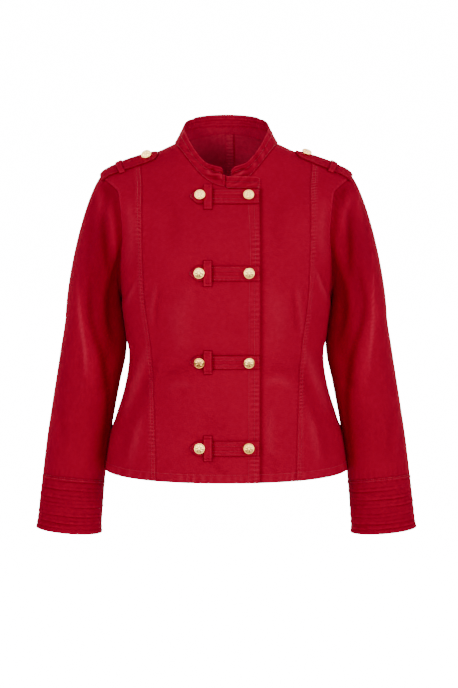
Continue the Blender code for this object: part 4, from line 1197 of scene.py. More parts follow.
def armhole_loop(side):
    """Points, normals and outward directions round an armhole, in even steps over each half."""
    half = SLEEVE_COLUMNS // 2
    shares = np.linspace(0.0, 1.0, half + 1)
    front = resampled(armhole(front=True), shares)[::-1][:-1]
    back = resampled(armhole(front=False), shares)[:-1]
    turn, level = np.vstack([front, back]).T
    turn = turn * side
    points, normals = body_point(turn, level), body_normal(turn, level)
    tangents = unit(np.roll(points, -1, axis=0) - np.roll(points, 1, axis=0))
    into = unit(np.cross(normals, tangents))
    centre = points.mean(axis=0)
    toward = np.sign(np.sum(into * (centre - points), axis=1, keepdims=True))
    return points, normals, into * toward


def fold_offset(points, angles):
    """Depth of the sleeve's soft folds at points whose columns stand at angles."""
    offset = np.zeros(points.shape[:-1])
    for angle, z_top, z_foot, width, depth in SLEEVE_FOLDS:
        z = points[..., 2]
        span = ease(z, z_foot - 50.0, z_foot + 60.0) * (1 - ease(z, z_top - 50.0, z_top))
        offset += depth * beside(np.asarray(angles) - angle, width) * span
    return offset


def tube_normals(points, side):
    """Normals of a grid that closes round an arm; its first column lies on the outer side."""
    along = np.gradient(points, axis=0)
    around = np.roll(points, -1, axis=1) - np.roll(points, 1, axis=1)
    normals = unit(np.cross(around, along))
    return normals * np.sign(side * normals[-1, 0, 0])


def sleeve_cloth(side):
    """A sleeve from the armhole seam to the cuff seam."""
    start, seam_normals, into = armhole_loop(side)
    landing = sleeve_rings(np.array([BICEPS_Z]), SLEEVE_ANGLES, side)[0]
    down = sleeve_section(np.array([BICEPS_Z]), side)[5][0]
    from_top = np.where(SLEEVE_ANGLES > 180, 360 - SLEEVE_ANGLES, SLEEVE_ANGLES)
    reach, slope, run_in = np.moveaxis(read(SLEEVE_HEAD, from_top), -1, 0)
    leave = np.stack([side * np.cos(np.radians(slope)), np.zeros_like(slope),
                      -np.sin(np.radians(slope))], axis=-1)
    under = ease(from_top, *UNDERARM_TURN)[:, None]
    sine, cosine = np.sin(under * math.pi / 2), np.cos(under * math.pi / 2)
    start = start + into * CLOTH * sine
    start_normals = seam_normals * cosine - into * sine
    climb = seam_normals * sine + into * (cosine + UNDERARM_RISE * sine)
    leave = unit(leave * (1 - under) + unit(climb) * under)
    first = start + leave * reach[:, None]
    second = landing - down * run_in[:, None]
    f = (steps(200.0, end_fine=False, spacing=3.4) / 200.0)[:, None, None]
    head = (start * (1 - f)**3 + 3 * first * f * (1 - f)**2
            + 3 * second * f**2 * (1 - f) + landing * f**3)
    drop = steps(BICEPS_Z - CUFF_TOP_Z, start_fine=False, spacing=3.0)[1:]
    points = np.vstack([head, sleeve_rings(BICEPS_Z - drop, SLEEVE_ANGLES, side)])
    normals = tube_normals(points, side)
    blend = ease(f[:, 0, 0], 0.0, 0.12)[:, None, None]
    normals[:len(f)] = unit(normals[:len(f)] * blend + start_normals * (1 - blend))
    depth = fold_offset(points, SLEEVE_ANGLES)
    depth[:len(f)] *= ease(f[:, 0, 0], 0.02, 0.4)[:, None]
    return measured(points + normals * depth[..., None], normals, around=True)


for side, word in WORDS:
    sleeve = sleeve_cloth(side)
    edges = (("first row", "sleeve head"), ("last row", "cuff seam"))
    relief, worn = made_up(sleeve, edges, 11.0 + side)
    angles = np.broadcast_to(np.append(SLEEVE_ANGLES, 360.0), sleeve.across.shape)
    folds, crease_shading = creased(angles, sleeve.points[..., 2], SLEEVE_CREASES[side])
    hollow_shade, _ = creased(angles, sleeve.points[..., 2], SLEEVE_HOLLOW_SHADE[side])
    in_front = ease(angles, 8.0, 34.0) * (1 - ease(angles, 140.0, 170.0))
    sink_at, sink_width, sink_depth = HEAD_SINK
    sunk = in_front * beside(sleeve.along - sink_at, sink_width)
    clear = ease(sleeve.along, 3.0, 22.0)
    relief = relief + folds * clear - sink_depth * sunk
    # The colour of a sleeve: its creases, painted shade in its long hollow and beside the seam of
    # the head, and painted shade over all of it.
    worn = worn + SLEEVE_CREASE_SHADING * crease_shading * clear + hollow_shade - 0.35 * sunk - SLEEVE_SHADE_DARKER
    made = add_cloth(f"sleeve_{word}_cloth", sleeve, CLOTH, relief, np.clip(worn, -1, 1),
                     f"sleeve_{word}")
    declare_sheet(made, sleeve)
    print(made.name, "faces:", len(made.data.polygons))

# %% [markdown]
# ### Tucked cuffs
# The lower sleeve has seven tucks: the cloth is folded on itself every 12 mm or so and stitched,
# so that each one rises slowly and drops back over a small ledge. They are never quite level. A
# loop of equal rings would look turned on a lathe, so each tuck wavers and swells by itself, and
# the rows of the grid crowd together where its ledge is.

# %% Cuffs
TUCKS = (6.5, 20.5, 34.0, 46.0, 61.5, 73.5, 82.0)   # how far below the top of the cuff each is
TUCK_RISE, TUCK_SLOPE, TUCK_LEDGE = 1.0, 7.0, 1.1   # height, width of its slope and of its drop
TUCK_ROWS = (-5.6, -4.8, -4.0, -2.4, -1.4, -0.6, 0.0, 0.6, 1.4, 2.4)    # the grid's, by the crest
CUFF_SEAM_ROWS, CUFF_HEM_ROWS = (0.0, 0.6, 1.3, 2.2), (4.2, 3.0, 2.0, 1.0, 0.0)
TUCK_SEWN, SEWN_WIDTH = 4.8, 0.9                    # the sewn line above each crest


def cuff_cloth(side):
    """A cuff, and how far each of its rows lies below its top."""
    height = CUFF_TOP_Z - CUFF_HEM_Z
    drops = list(CUFF_SEAM_ROWS)
    for crest, following in zip(TUCKS, TUCKS[1:] + (height + 4.0,)):
        drops += [crest + row for row in TUCK_ROWS]
        drops += list(np.arange(crest + 3.6, following - 6.2, 1.9))
    drops = np.array(sorted(drop for drop in drops if drop < height - 5)
                     + [height - row for row in CUFF_HEM_ROWS])
    points = sleeve_rings(CUFF_TOP_Z - drops, SLEEVE_ANGLES, side)
    return measured(points, tube_normals(points, side), around=True), drops


def tucked(drops, run, side):
    """Relief of the tucks, with their ridges paler and painted shade under each ledge and sewn
    line, a little uneven round the cuff.
    """
    relief, worn = np.zeros(run.shape), np.zeros(run.shape)
    for number, crest in enumerate(TUCKS):
        waver = 0.6 * np.sin(run / 23.0 + 2.3 * number + side) + 0.3 * np.sin(
            run / 9.0 + 1.1 * number)
        sharp = 0.62 + 0.3 * np.sin(run / 29.0 + 1.7 * number + 2 * side) + 0.12 * waver
        from_crest = drops[:, None] - crest - 0.5 * waver
        rise = np.clip(1 + from_crest / TUCK_SLOPE, 0, 1) * (from_crest <= 0)
        fall = np.clip(1 - from_crest / TUCK_LEDGE, 0, 1) * (from_crest > 0)
        pull = 0.55 + 0.4 * np.sin(run / 17.0 + 2.0 * number + side)
        sewn = pull * beside(from_crest + TUCK_SEWN, SEWN_WIDTH)
        puckers = np.sin(run / 2.4 + 5.0 * number) * beside(from_crest + 3.0, 3.0)
        ridge, ledge = beside(from_crest + 1.4, 1.4), beside(from_crest - 1.0, 1.2)
        relief += TUCK_RISE * (rise**1.3 + fall) * sharp - 0.25 * sewn
        # Ridges paler; painted shade under each ledge and along each sewn line.
        worn += sharp * (0.26 * ridge - 0.60 * ledge) - 0.36 * sewn + 0.10 * puckers
    return relief, worn


for side, word in WORDS:
    cuff, drops = cuff_cloth(side)
    edges = (("first row", "cuff top"), ("last row", "cuff hem"))
    relief, worn = made_up(cuff, edges, 17.0 + side)
    tuck_relief, tuck_wear_and_shading = tucked(drops, cuff.across, side)
    relief = relief * 0.6 + tuck_relief
    worn = np.clip(worn + tuck_wear_and_shading - CUFF_SHADE_DARKER, -1, 1)
    made = add_cloth(f"cuff_{word}_cloth", cuff, CLOTH, relief, worn, f"cuff_{word}",
                     inner_share=0.1)
    sew("stitches_sleeves", cuff, CLOTH, relief, edges)
    declare_sheet(made, cuff)
    print(made.name, "faces:", len(made.data.polygons))

# %% [markdown]
# ## Collar
# The stand collar is one band of two layers with interlining. On the wearer's right it steps down
# to a low extension that runs across the lap. A bent strip would need its ends cut to shape
# afterwards, so the band is made column by column instead: each column starts on the neck seam
# and is as tall as the collar is there, with a short run for the step and round corners.

# %% Collar
# The free top edge of the collar: how far it stands from the middle, to the side and to the
# front or back, and its height.
COLLAR_TOP = np.array([
    # turn  half_width  depth   z
    (0.0,    69.0,      -77.0, -37.0),
    (11.0,   69.0,      -77.0, -35.0),
    (29.0,   69.5,      -76.0, -28.0),
    (45.0,   70.0,      -74.0, -11.5),
    (62.0,   70.0,      -70.0,   9.0),
    (90.0,   69.5,      -62.0,  29.0),
    (107.0,  69.5,       57.0,  38.0),
    (133.0,  70.0,       56.0,  46.5),
    (156.0,  70.0,       56.0,  50.5),
    (180.0,  70.0,       56.0,  52.0),
])
COLLAR_THICKNESS = 2.2
COLLAR_END, STEP_END = 6.0, 4.4     # turns at which the left end and the right step stand
END_RUN = 1.4                       # millimetres along the neck for a degree of turn, there
END_CORNER, STEP_CORNER = 11.0, 6.0     # how round those two are, mm
STEP_SHARE = 0.62                   # height of the extension where the step stands on it
EXTENSION_HEIGHT = 21.5
EXTENSION_LEAN = (13.0, 25.0)       # degrees from upright, at the middle and at its end
CORNER = 8.0                        # radius of the extension's own corner, mm
CORNER_SHARES = (0.8, 0.6, 0.42, 0.27, 0.15, 0.07, 0.0)     # its columns, as shares of that
STEP_TURNS = (-0.9, -0.5, -0.2, 0.0, 0.25, 0.5, 0.75, 1.0, 2.2, STEP_END)   # columns by the step


def rounded(run, radius=CORNER):
    """How far below the top a rounded corner is, at a distance from the end."""
    inside = np.clip(radius - run, 0.0, radius)
    return radius - math.sqrt(max(radius**2 - inside**2, 0.0))


def collar_cloth():
    """The collar's inner face: columns from the left end round the back to the lapped end."""
    share = steps(46.0, spacing=2.6) / 46.0
    columns, seams = [], []
    turns = np.concatenate([np.linspace(COLLAR_END, 90, 62), np.linspace(90, 180, 46)[1:]])
    turns = np.concatenate([turns, -turns[::-1][1:]])
    xs = np.concatenate([np.linspace(0.0, LAP_EDGE_X - CORNER, 22)[1:],
                         LAP_EDGE_X - CORNER * np.array(CORNER_SHARES)])
    for turn in np.concatenate([turns, -STEP_END + np.array(STEP_TURNS)]):
        lift = float(lap_lift(body_point(turn, NECK))) if turn < 0 else 0.0
        seam = body_point(turn, NECK) + body_normal(turn, NECK) * lift
        half_width, depth, z = read(COLLAR_TOP, abs(turn))
        sine, cosine = math.sin(math.radians(turn)), math.cos(math.radians(turn))
        top = np.array([half_width * sine, -abs(depth) * cosine - lift, z])
        height = np.linalg.norm(top - seam)
        kept = height
        if 0 < turn < 90:
            kept -= rounded((turn - COLLAR_END) * END_RUN, END_CORNER)
        if -90 < turn <= -STEP_END:
            kept -= rounded((-turn - STEP_END) * END_RUN, STEP_CORNER)
        if -STEP_END < turn <= 0:
            low = STEP_SHARE * height
            climb = float(ease(-turn, STEP_END - 0.9, STEP_END))
            kept = low + (height - STEP_CORNER - low) * climb
        columns.append(seam + (top - seam) * (share * kept / height)[:, None])
        seams.append((turn, NECK))
    for x in xs:
        turn, level = (float(value) for value in on_front(x, LAP_TOP_Z))
        lean = math.radians(np.interp(x, (0.0, LAP_EDGE_X), EXTENSION_LEAN))
        kept = EXTENSION_HEIGHT - rounded(LAP_EDGE_X - x)
        seam = body_point(turn, level) + body_normal(turn, level) * LAP
        run = share[:, None] * kept
        columns.append(seam + run * np.array([0.0, math.sin(lean), math.cos(lean)]))
        seams.append((turn, level))
    inner = np.stack(columns, axis=1)
    normals = unit(np.cross(np.gradient(inner, axis=1), np.gradient(inner, axis=0)))
    seam_normals = body_normal(*np.array(seams).T)
    if np.sum(normals[1] * seam_normals) < 0:
        normals = -normals
    blend = ease(share, 0.0, 0.12)[:, None, None]
    normals = unit(normals * blend + seam_normals * (1 - blend))
    return measured(inner, normals)


collar = collar_cloth()
print("columns of the collar:", collar.points.shape[1])

# %% [markdown]
# ### The collar's face
# The layers of a stand collar part between their rows of stitches and go hollow, most of all in
# front, where it is bent the most in wear. The facing inside has four plain rows of stitches.

# %% Relief of the collar
FACING_ROWS = (4.5, 9.5, 14.5, 19.5)    # rows of stitches in the collar's facing, from its top
# Hollows along the collar where its layers part, and the ridge between them: how far below its
# top, width and depth.
COLLAR_HOLLOWS = ((3.0, 1.1, 0.8), (9.0, 2.0, 1.5), (14.5, 2.2, -0.6), (20.5, 2.4, 1.0))
collar_edges = (("first row", "collar foot"), ("last row", "collar edge"),
                ("first column", "band edge"), ("last column", "band edge"))
relief, worn = made_up(collar, collar_edges, 23.0)
in_front = 1 - ease(collar.points[..., 1], -66.0, -10.0)
from_top = collar.along[-1:] - collar.along
waves = ripple(collar.across + 0.2 * collar.along, 21.0, 3.3) * in_front
waves = waves * beside(collar.along - 13.0, 11.0)
wander = 1.7 * ripple(collar.across, 23.0, 5.2)
tall = ease(collar.along[-1:], 24.0, 30.0)      # the low extension has no such hollows
sunk = sum(depth * beside(from_top - place - wander * (place > 5), width)
           for place, width, depth in COLLAR_HOLLOWS)
sunk = sunk * (0.35 + 0.65 * in_front) * (0.25 + 0.75 * tall)
relief = relief + 1.5 * waves - sunk
# The hollows are painted darker, as painted shade. The waves are paler on their ridges and darker
# in their troughs, and the front of the collar is darker all over.
worn = np.clip(worn + 0.25 * waves - 0.75 * sunk - 0.12 * in_front, -1, 1)
rows = sum(beside(from_top - row, GROOVE_WIDTH) for row in FACING_ROWS)
# The facing inside is painted paler, as painted light in the shaded neck, and darker along its rows
# of stitches, as painted shade.
inner_wear_and_shading = np.clip(0.25 * worn + INNER_PALER_AND_LIT + 0.1 - 0.45 * rows, -1, 1)
made = add_cloth("collar_cloth", collar, COLLAR_THICKNESS, relief, worn, "collar_stand",
                 inside=(0.2 * relief + 0.25 * rows, inner_wear_and_shading))
sew("stitches_trim", collar, COLLAR_THICKNESS, relief, collar_edges)
declare_sheet(made, collar)
print("collar, mm:", [round(v) for v in FLATS["collar_cloth"][:2]])

# %% [markdown]
# ## Tabs and their keeper loops
# Four straps lie across the front and pass through upright loops. Each is a narrow tube of twill,
# turned, pressed and stitched four times along its length. A flat strap pushed onto the chest
# with a modifier would stretch where the chest is round. So every point of a strap is looked up
# on the front itself, at its own place and height over the cloth.

# %% Bands that lie on other cloth
# All in millimetres.
TAB_ROWS_Z = (-86.0, -205.8, -351.0, -490.8)
TAB_HEIGHT, TAB_TIP_X, TAB_END_X = 25.0, -58.0, 53.5
TAB_POINT, TAB_BLUNT = 13.0, 0.35           # length of its point, and how blunt that is
LOOP_X, LOOP_HEIGHT = (-36.5, -22.0), 42.0
LOOP_SLACK, LOOP_DROP, LOOP_THICKNESS = 1.2, 2.6, 1.6
# Painted shadow of each loop on its tab: where, half width, strength.
LOOP_SHADOW_PAINT = ((LOOP_X[1] + 1.6, 1.7, 0.9), (LOOP_X[0] - 1.2, 1.2, 0.54))  # as the lap's above
TAB_STITCHES = (-0.38, -0.13, 0.13, 0.38)   # shares of the tab's height, from its middle


def front_surface(x, z, height):
    """Points at a height over the inner face of the right front, at places x and z."""
    turn, level = on_front(x, z)
    points, normals = body_point(turn, level), body_normal(turn, level)
    lift = lap_lift(points)
    return points + normals * (lift + height)[..., None]


def surface_cloth(surface, first, second, heights):
    """Cloth that lies over a surface given as a function of two coordinates and a height."""
    points = surface(first, second, heights)
    raised = surface(first, second, heights + 1.0)
    normals = unit(np.cross(np.gradient(points, axis=1), np.gradient(points, axis=0)))
    if np.sum(normals * (raised - points)) < 0:
        normals = -normals
    return measured(points, normals)


def stitched_band(cloth, shares, seed, pucker=0.22, pitch=7.0):
    """Relief, and wear and painted shade, of a narrow band, stitched along its length at shares of
    its height.
    """
    height = cloth.along[-1:]
    relief, worn = np.zeros(cloth.across.shape), np.zeros(cloth.across.shape)
    for number, share in enumerate(shares):
        away = cloth.along - height * (share + 0.5)
        wave = ripple(cloth.across + 0.4 * away, pitch, seed + number)
        sunk = beside(away, 1.1)
        relief += pucker * wave * beside(away, 4.5) - 0.35 * sunk
        # The stitch lines are painted darker, as painted shade in their grooves.
        worn += 0.16 * wave * beside(away, 4.0) - 0.40 * sunk
    # Each edge is painted dark, as the band's painted contact shadow, with a paler rubbed line just
    # inside it.
    for edge in ("first row", "last row", "first column", "last column"):
        away, _ = from_edge(cloth, edge)
        relief -= 0.6 * beside(away, 1.0)
        worn += 0.24 * beside(away - 2.0, 1.0) - 1.05 * beside(away, 1.1)
    return relief, np.clip(worn, -1, 1)


def sew_band(group, cloth, thickness, relief, shares):
    """Note a band's lengthwise stitch lines."""
    outer = outer_face(cloth, thickness, relief)
    for share in shares:
        row = int(np.argmin(np.abs(cloth.along[:, 0] / cloth.along[-1, 0] - share - 0.5)))
        SEAMS.setdefault(group, []).append((outer[row, 2:-2], cloth.normals[row, 2:-2]))


def add_band(name, surface, first, second, heights, thickness, shares, seed, shade=0.0):
    """A strap or a loop: its cloth, its rows of stitches and its flat size."""
    cloth = surface_cloth(surface, first, second, heights)
    relief, worn = stitched_band(cloth, shares, seed)
    worn = np.clip(worn - shade, -1, 1)
    made = add_cloth(name + "_cloth", cloth, thickness, relief, worn, name, inner_share=0.0)
    sew_band("stitches_trim", cloth, thickness, relief, shares)
    declare_sheet(made, cloth)


print("width of a loop, mm:", LOOP_X[1] - LOOP_X[0])

# %% [markdown]
# ### The four tabs
# A tab tapers to a blunt point, and its loop bridges it: the loop lies on the chest at both ends
# and steps over the tab between them. The tab beside a loop is painted darker, as the loop's
# painted shadow.

# %% Tabs and loops
for number, row_z in enumerate(TAB_ROWS_Z, start=1):
    x = TAB_TIP_X + steps(TAB_END_X - TAB_TIP_X, spacing=2.0)
    taper = ease(x, TAB_TIP_X - TAB_POINT * TAB_BLUNT, TAB_TIP_X + TAB_POINT)
    share = steps(TAB_HEIGHT, spacing=2.0) / TAB_HEIGHT - 0.5
    xs = np.broadcast_to(x, (len(share), len(x)))
    zs = row_z + share[:, None] * TAB_HEIGHT * taper
    shade = sum(strength * beside(xs - place, width) for place, width, strength in LOOP_SHADOW_PAINT)
    add_band(f"tab_{number}", front_surface, xs, zs, np.full(xs.shape, CLOTH + LAY), DOUBLE,
             TAB_STITCHES, 31.0 + number, shade)

    half, shoulder = LOOP_HEIGHT / 2, TAB_HEIGHT / 2 + LOOP_SLACK
    z = -half + steps(LOOP_HEIGHT, spacing=1.8)
    x = LOOP_X[0] + steps(LOOP_X[1] - LOOP_X[0], spacing=1.6)
    bridge = 1 - ease(np.abs(z), shoulder, shoulder + LOOP_DROP)
    xs = np.broadcast_to(x, (len(z), len(x)))
    zs = np.broadcast_to((row_z + z)[:, None], xs.shape)
    heights = np.broadcast_to((CLOTH + LAY + (DOUBLE + LAY) * bridge)[:, None], xs.shape)
    add_band(f"tab_loop_{number}", front_surface, xs, zs, heights, LOOP_THICKNESS, (),
             41.0 + number)
print("tab, mm:", [round(v) for v in FLATS["tab_1_cloth"][:2]])

# %% [markdown]
# ## Epaulettes
# A strap lies along each shoulder, pointed towards the collar, with a loop across it near the
# sleeve and a button near its point. It is sewn into the armhole seam at its wide end. The
# shoulder is curved both ways, so the strap's width is walked over it in short steps from the
# shoulder seam, forwards and back.

# %% Places on the shoulder
EPAULETTE_OUTER_LEVEL, EPAULETTE_TIP_LEVEL = 7.03, 8.53
EPAULETTE_LENGTH, EPAULETTE_WIDTH = 104.0, 39.0             # nominal, for its rows and columns
EPAULETTE_HALF_WIDTH = (20.0, 18.5)                         # at the armhole and at the point
EPAULETTE_FORWARD = {-1: (7.0, 18.0), 1: (8.0, 9.0)}        # its middle, before the shoulder seam
EPAULETTE_POINT, EPAULETTE_BLUNT = 0.11, 0.30               # its point's share, and how blunt
EPAULETTE_LOOP_AT, EPAULETTE_LOOP_WIDTH = (0.315, 0.42), 13.0
EPAULETTE_LAY, EPAULETTE_LOOP_FOOT = 1.1, 5.0
EPAULETTE_STITCHES, EPAULETTE_SHADE = (-0.38, 0.38), 0.12   # shares of its width; deeper colour
EPAULETTE_WALK = 24     # steps in which its width is walked over the shoulder


def epaulette_place(share, sideways, side):
    """Turn and level on the shoulder, for a share of the strap's length and millimetres across.

    sideways is positive towards the front."""
    share, sideways = np.broadcast_arrays(np.asarray(share, float), np.asarray(sideways, float))
    level = EPAULETTE_OUTER_LEVEL + (EPAULETTE_TIP_LEVEL - EPAULETTE_OUTER_LEVEL) * share
    turn = np.full(level.shape, 90.0)
    step = sideways / EPAULETTE_WALK
    for _ in range(EPAULETTE_WALK):
        here = body_point(turn, level)
        ahead = body_point(turn - 0.5, level)
        turn = turn - 0.5 * step / np.linalg.norm(ahead - here, axis=-1)
    return turn * side, level


def epaulette_surface(share, sideways, height, side):
    turn, level = epaulette_place(share, sideways, side)
    return body_point(turn, level) + body_normal(turn, level) * np.asarray(height)[..., None]


def epaulette_middle(share, side):
    """How far the strap's middle lies in front of the shoulder seam."""
    return np.interp(share, (0.0, 1.0), EPAULETTE_FORWARD[side])


def epaulette_half_width(share):
    straight = np.interp(share, (0.0, 1.0), EPAULETTE_HALF_WIDTH)
    from_tip = np.clip((1 - np.asarray(share)) / EPAULETTE_POINT, 0.0, 1.0)
    return straight * (EPAULETTE_BLUNT + (1 - EPAULETTE_BLUNT) * from_tip**0.75)


print("epaulette's half width at its point, mm:", round(float(epaulette_half_width(1.0)), 1))

# %% [markdown]
# ### The two epaulettes
# Strap and loop are bands like the tabs and their loops, and only the surface they lie on is
# another. In the photo the right one shows more of its face than the left one does, so each has
# its own middle line.

# %% Epaulettes
for side, word in WORDS:
    share = steps(EPAULETTE_LENGTH, spacing=2.2) / EPAULETTE_LENGTH
    across = 2 * steps(EPAULETTE_WIDTH, spacing=2.6) / EPAULETTE_WIDTH - 1
    shares = np.broadcast_to(share, (len(across), len(share)))
    sideways = epaulette_middle(share, side) + across[:, None] * epaulette_half_width(share)

    def strap_surface(first, second, heights):
        return epaulette_surface(first, second, heights, side)

    add_band(f"epaulette_{word}", strap_surface, shares, sideways,
             np.full(shares.shape, CLOTH + EPAULETTE_LAY), DOUBLE, EPAULETTE_STITCHES,
             51.0 + side, EPAULETTE_SHADE)

    half = float(epaulette_half_width(np.mean(EPAULETTE_LOOP_AT)))
    reach = half + EPAULETTE_LOOP_FOOT
    over = -reach + steps(2 * reach, spacing=2.0)
    bridge = 1 - ease(np.abs(over), half + LOOP_SLACK, half + LOOP_SLACK + LOOP_DROP)
    wide = EPAULETTE_LOOP_AT[1] - EPAULETTE_LOOP_AT[0]
    share = steps(EPAULETTE_LOOP_WIDTH, spacing=1.6) / EPAULETTE_LOOP_WIDTH
    share = EPAULETTE_LOOP_AT[0] + wide * share
    shares = np.broadcast_to(share, (len(over), len(share)))
    sideways = epaulette_middle(share, side) + over[:, None]
    heights = CLOTH + LAY + (DOUBLE + EPAULETTE_LAY) * bridge
    heights = np.broadcast_to(heights[:, None], shares.shape)
    add_band(f"epaulette_loop_{word}", strap_surface, shares, sideways, heights,
             LOOP_THICKNESS, (), 55.0 + side)
print("epaulette, mm:", [round(v) for v in FLATS["epaulette_left_cloth"][:2]])

# %% [markdown]
# ## Buttons
# The buttons are stamped brass shells with a shank. Such a shell is round, so it is a section
# turned about its axis, as a Screw modifier would make it, but with the stamping pressed into it:
# a ring of petals round a boss, as on many uniform buttons. The `hollow` attribute is filled from
# the same numbers as the shape, so the brown sits exactly in the hollows.

# %% The button
BUTTON_SECTION = np.array([
    # radius height
    (0.01, 0.0), (2.4, 0.0), (2.4, 2.9), (7.2, 3.2), (8.2, 3.6), (8.6, 4.2), (8.55, 4.9),
    (8.2, 5.5), (7.7, 5.6), (7.35, 5.1), (7.0, 5.1), (6.5, 5.6), (5.8, 6.1), (4.9, 6.6),
    (3.9, 7.0), (2.9, 7.3), (1.9, 7.5), (0.9, 7.62), (0.01, 7.65)])
BUTTON_SIDES = 48
PETALS, PETAL_HEIGHT = 7, 0.55
DOME_FOOT = 5.1                     # the height from which the stamped face is a dome
BUTTON_RINGS = ((7.15, 0.55, 1.0), (2.4, 0.8, 0.9))     # hollow rings: radius, width, strength


def add_button_mesh():
    """One button at the origin, with its face up, and how hollow each point of it is."""
    angles = np.linspace(0.0, 2 * math.pi, BUTTON_SIDES, endpoint=False)
    radius, height = BUTTON_SECTION.T
    petals = ease(radius, 1.8, 3.2) * (1 - ease(radius, 5.2, 6.8)) * (height > DOME_FOOT)
    petals = np.cos(PETALS * angles)[None] * petals[:, None]
    heights = height[:, None] + PETAL_HEIGHT * petals
    points = np.stack([radius[:, None] * np.cos(angles), radius[:, None] * np.sin(angles),
                       heights], axis=-1)
    faces = grid_faces(*heights.shape, closed=True)
    made = add_mesh("button", points.reshape(-1, 3), faces, BRASS, sharp=80.0)
    rings = sum(strength * beside(radius - place, width)
                for place, width, strength in BUTTON_RINGS) * (height >= DOME_FOOT)
    mark(made.data, "hollow", np.clip(np.clip(-petals, 0, 1) + rings[:, None], 0, 1).reshape(-1))
    return made


button = add_button_mesh()
print("faces of a button:", len(button.data.polygons))

# %% [markdown]
# ### Where the buttons stand
# Each button stands on its strap and faces where the cloth faces. Those of the epaulettes hang
# forward on their shanks, the right one more than the left one.

# %% Seats of the buttons
BUTTON_X = (-42.0, 35.8)
SHOULDER_BUTTON_AT, SHOULDER_BUTTON_FORWARD = 0.82, 3.0     # share of the strap, and mm
SHOULDER_BUTTON_TILT, SHOULDER_BUTTON_SHANK = {-1: 25.0, 1: 7.0}, 1.0   # degrees and mm


def button_seats():
    """Where the buttons stand and along which way they face, front ones first."""
    seats = []
    for row_z in TAB_ROWS_Z:
        for x in BUTTON_X:
            turn, level = on_front(x, row_z)
            normal = body_normal(turn, level)
            lift = lap_lift(body_point(turn, level)) + CLOTH + LAY + DOUBLE + GAP
            seats.append((body_point(turn, level) + normal * lift, normal))
    for side, _ in WORDS:
        forward = epaulette_middle(SHOULDER_BUTTON_AT, side) + SHOULDER_BUTTON_FORWARD
        turn, level = epaulette_place(SHOULDER_BUTTON_AT, forward, side)
        normal = body_normal(turn, level)
        height = CLOTH + EPAULETTE_LAY + DOUBLE + GAP + SHOULDER_BUTTON_SHANK
        tilt = math.radians(SHOULDER_BUTTON_TILT[side])
        facing = normal * math.cos(tilt) + np.array([0.0, -1.0, 0.0]) * math.sin(tilt)
        seats.append((body_point(turn, level) + normal * height, unit(facing)))
    return seats


seats = button_seats()
print("seats of buttons:", len(seats))

# %% [markdown]
# ## Things that repeat
# Stitches and buttons could be copied one by one, but a Geometry Nodes tree lays them all and
# keeps their sizes as named inputs. There are two small trees, one for lines and one for points.
# Each ends by turning its instances into a plain mesh, so that only geometry is left.

# %% Geometry Nodes
TREE_INPUTS = (("Geometry", "NodeSocketGeometry"), ("Instance", "NodeSocketObject"),
               ("Pitch", "NodeSocketFloat"), ("Finish", "NodeSocketMaterial"))


def instance_tree(name, on_lines):
    """Instances of one object: every few millimetres along lines, or on each point."""
    tree = bpy.data.node_groups.new(name, "GeometryNodeTree")
    for label, kind in TREE_INPUTS:
        tree.interface.new_socket(label, in_out="INPUT", socket_type=kind)
    tree.interface.new_socket("Geometry", in_out="OUTPUT", socket_type="NodeSocketGeometry")
    source = node(tree, "NodeGroupInput").outputs
    up = node(tree, "GeometryNodeInputNamedAttribute", {"data_type": "FLOAT_VECTOR"}, "up")
    seats = source["Geometry"]
    facing = node(tree, "FunctionNodeAlignRotationToVector", {"axis": "Z"}, Vector=up)
    if on_lines:
        curves = node(tree, "GeometryNodeMeshToCurve", (), seats)
        seats = node(tree, "GeometryNodeResampleCurve", {"mode": "LENGTH"},
                     Curve=curves, Length=source["Pitch"])
        facing = node(tree, "FunctionNodeAlignRotationToVector", {"axis": "X", "pivot_axis": "Z"},
                      Rotation=facing, Vector=node(tree, "GeometryNodeInputTangent"))
    item = node(tree, "GeometryNodeObjectInfo", (), source["Instance"]).outputs["Geometry"]
    items = node(tree, "GeometryNodeInstanceOnPoints", Points=seats, Instance=item,
                 Rotation=facing)
    real = node(tree, "GeometryNodeRealizeInstances", (), items)
    finished = node(tree, "GeometryNodeSetMaterial", Geometry=real, Material=source["Finish"])
    node(tree, "NodeGroupOutput", (), finished)
    return tree


def instanced(name, lines, item, pitch, finish, tree):
    """A plain mesh of instances laid on lines of (points, normals), with its tree removed."""
    points = np.vstack([line_points for line_points, _ in lines])
    ups = np.vstack([line_ups for _, line_ups in lines])
    edges, start = [], 0
    for line_points, _ in lines:
        edges += [(start + k, start + k + 1) for k in range(len(line_points) - 1)]
        start += len(line_points)
    mesh = bpy.data.meshes.new(name + "_lines")
    mesh.from_pydata((points * MILLIMETRE).tolist(), edges, [])
    mark(mesh, "up", ups)
    carrier = placed(name + "_lines", mesh)
    modifier = carrier.modifiers.new("instances", "NODES")
    modifier.node_group = tree
    values = {"Instance": item, "Pitch": pitch * MILLIMETRE, "Finish": finish}
    for socket in tree.interface.items_tree:
        if socket.in_out == "INPUT" and socket.name in values:
            modifier[socket.identifier] = values[socket.name]
    carrier.update_tag()
    graph = bpy.context.evaluated_depsgraph_get()
    plain = bpy.data.meshes.new_from_object(carrier.evaluated_get(graph))
    plain.name = name
    made = placed(name, plain)
    bpy.data.objects.remove(carrier)
    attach(made, "root")
    return made


POINT_TREE = instance_tree("one on each point", on_lines=False)
LINE_TREE = instance_tree("every few millimetres along lines", on_lines=True)
print("nodes of the trees:", len(POINT_TREE.nodes), "and", len(LINE_TREE.nodes))

# %% [markdown]
# ### Laying the buttons
# The eight buttons of the front make one mesh and the two of the shoulders another. All move with
# the one body, and each mesh stands for the plain buttons of the solids.

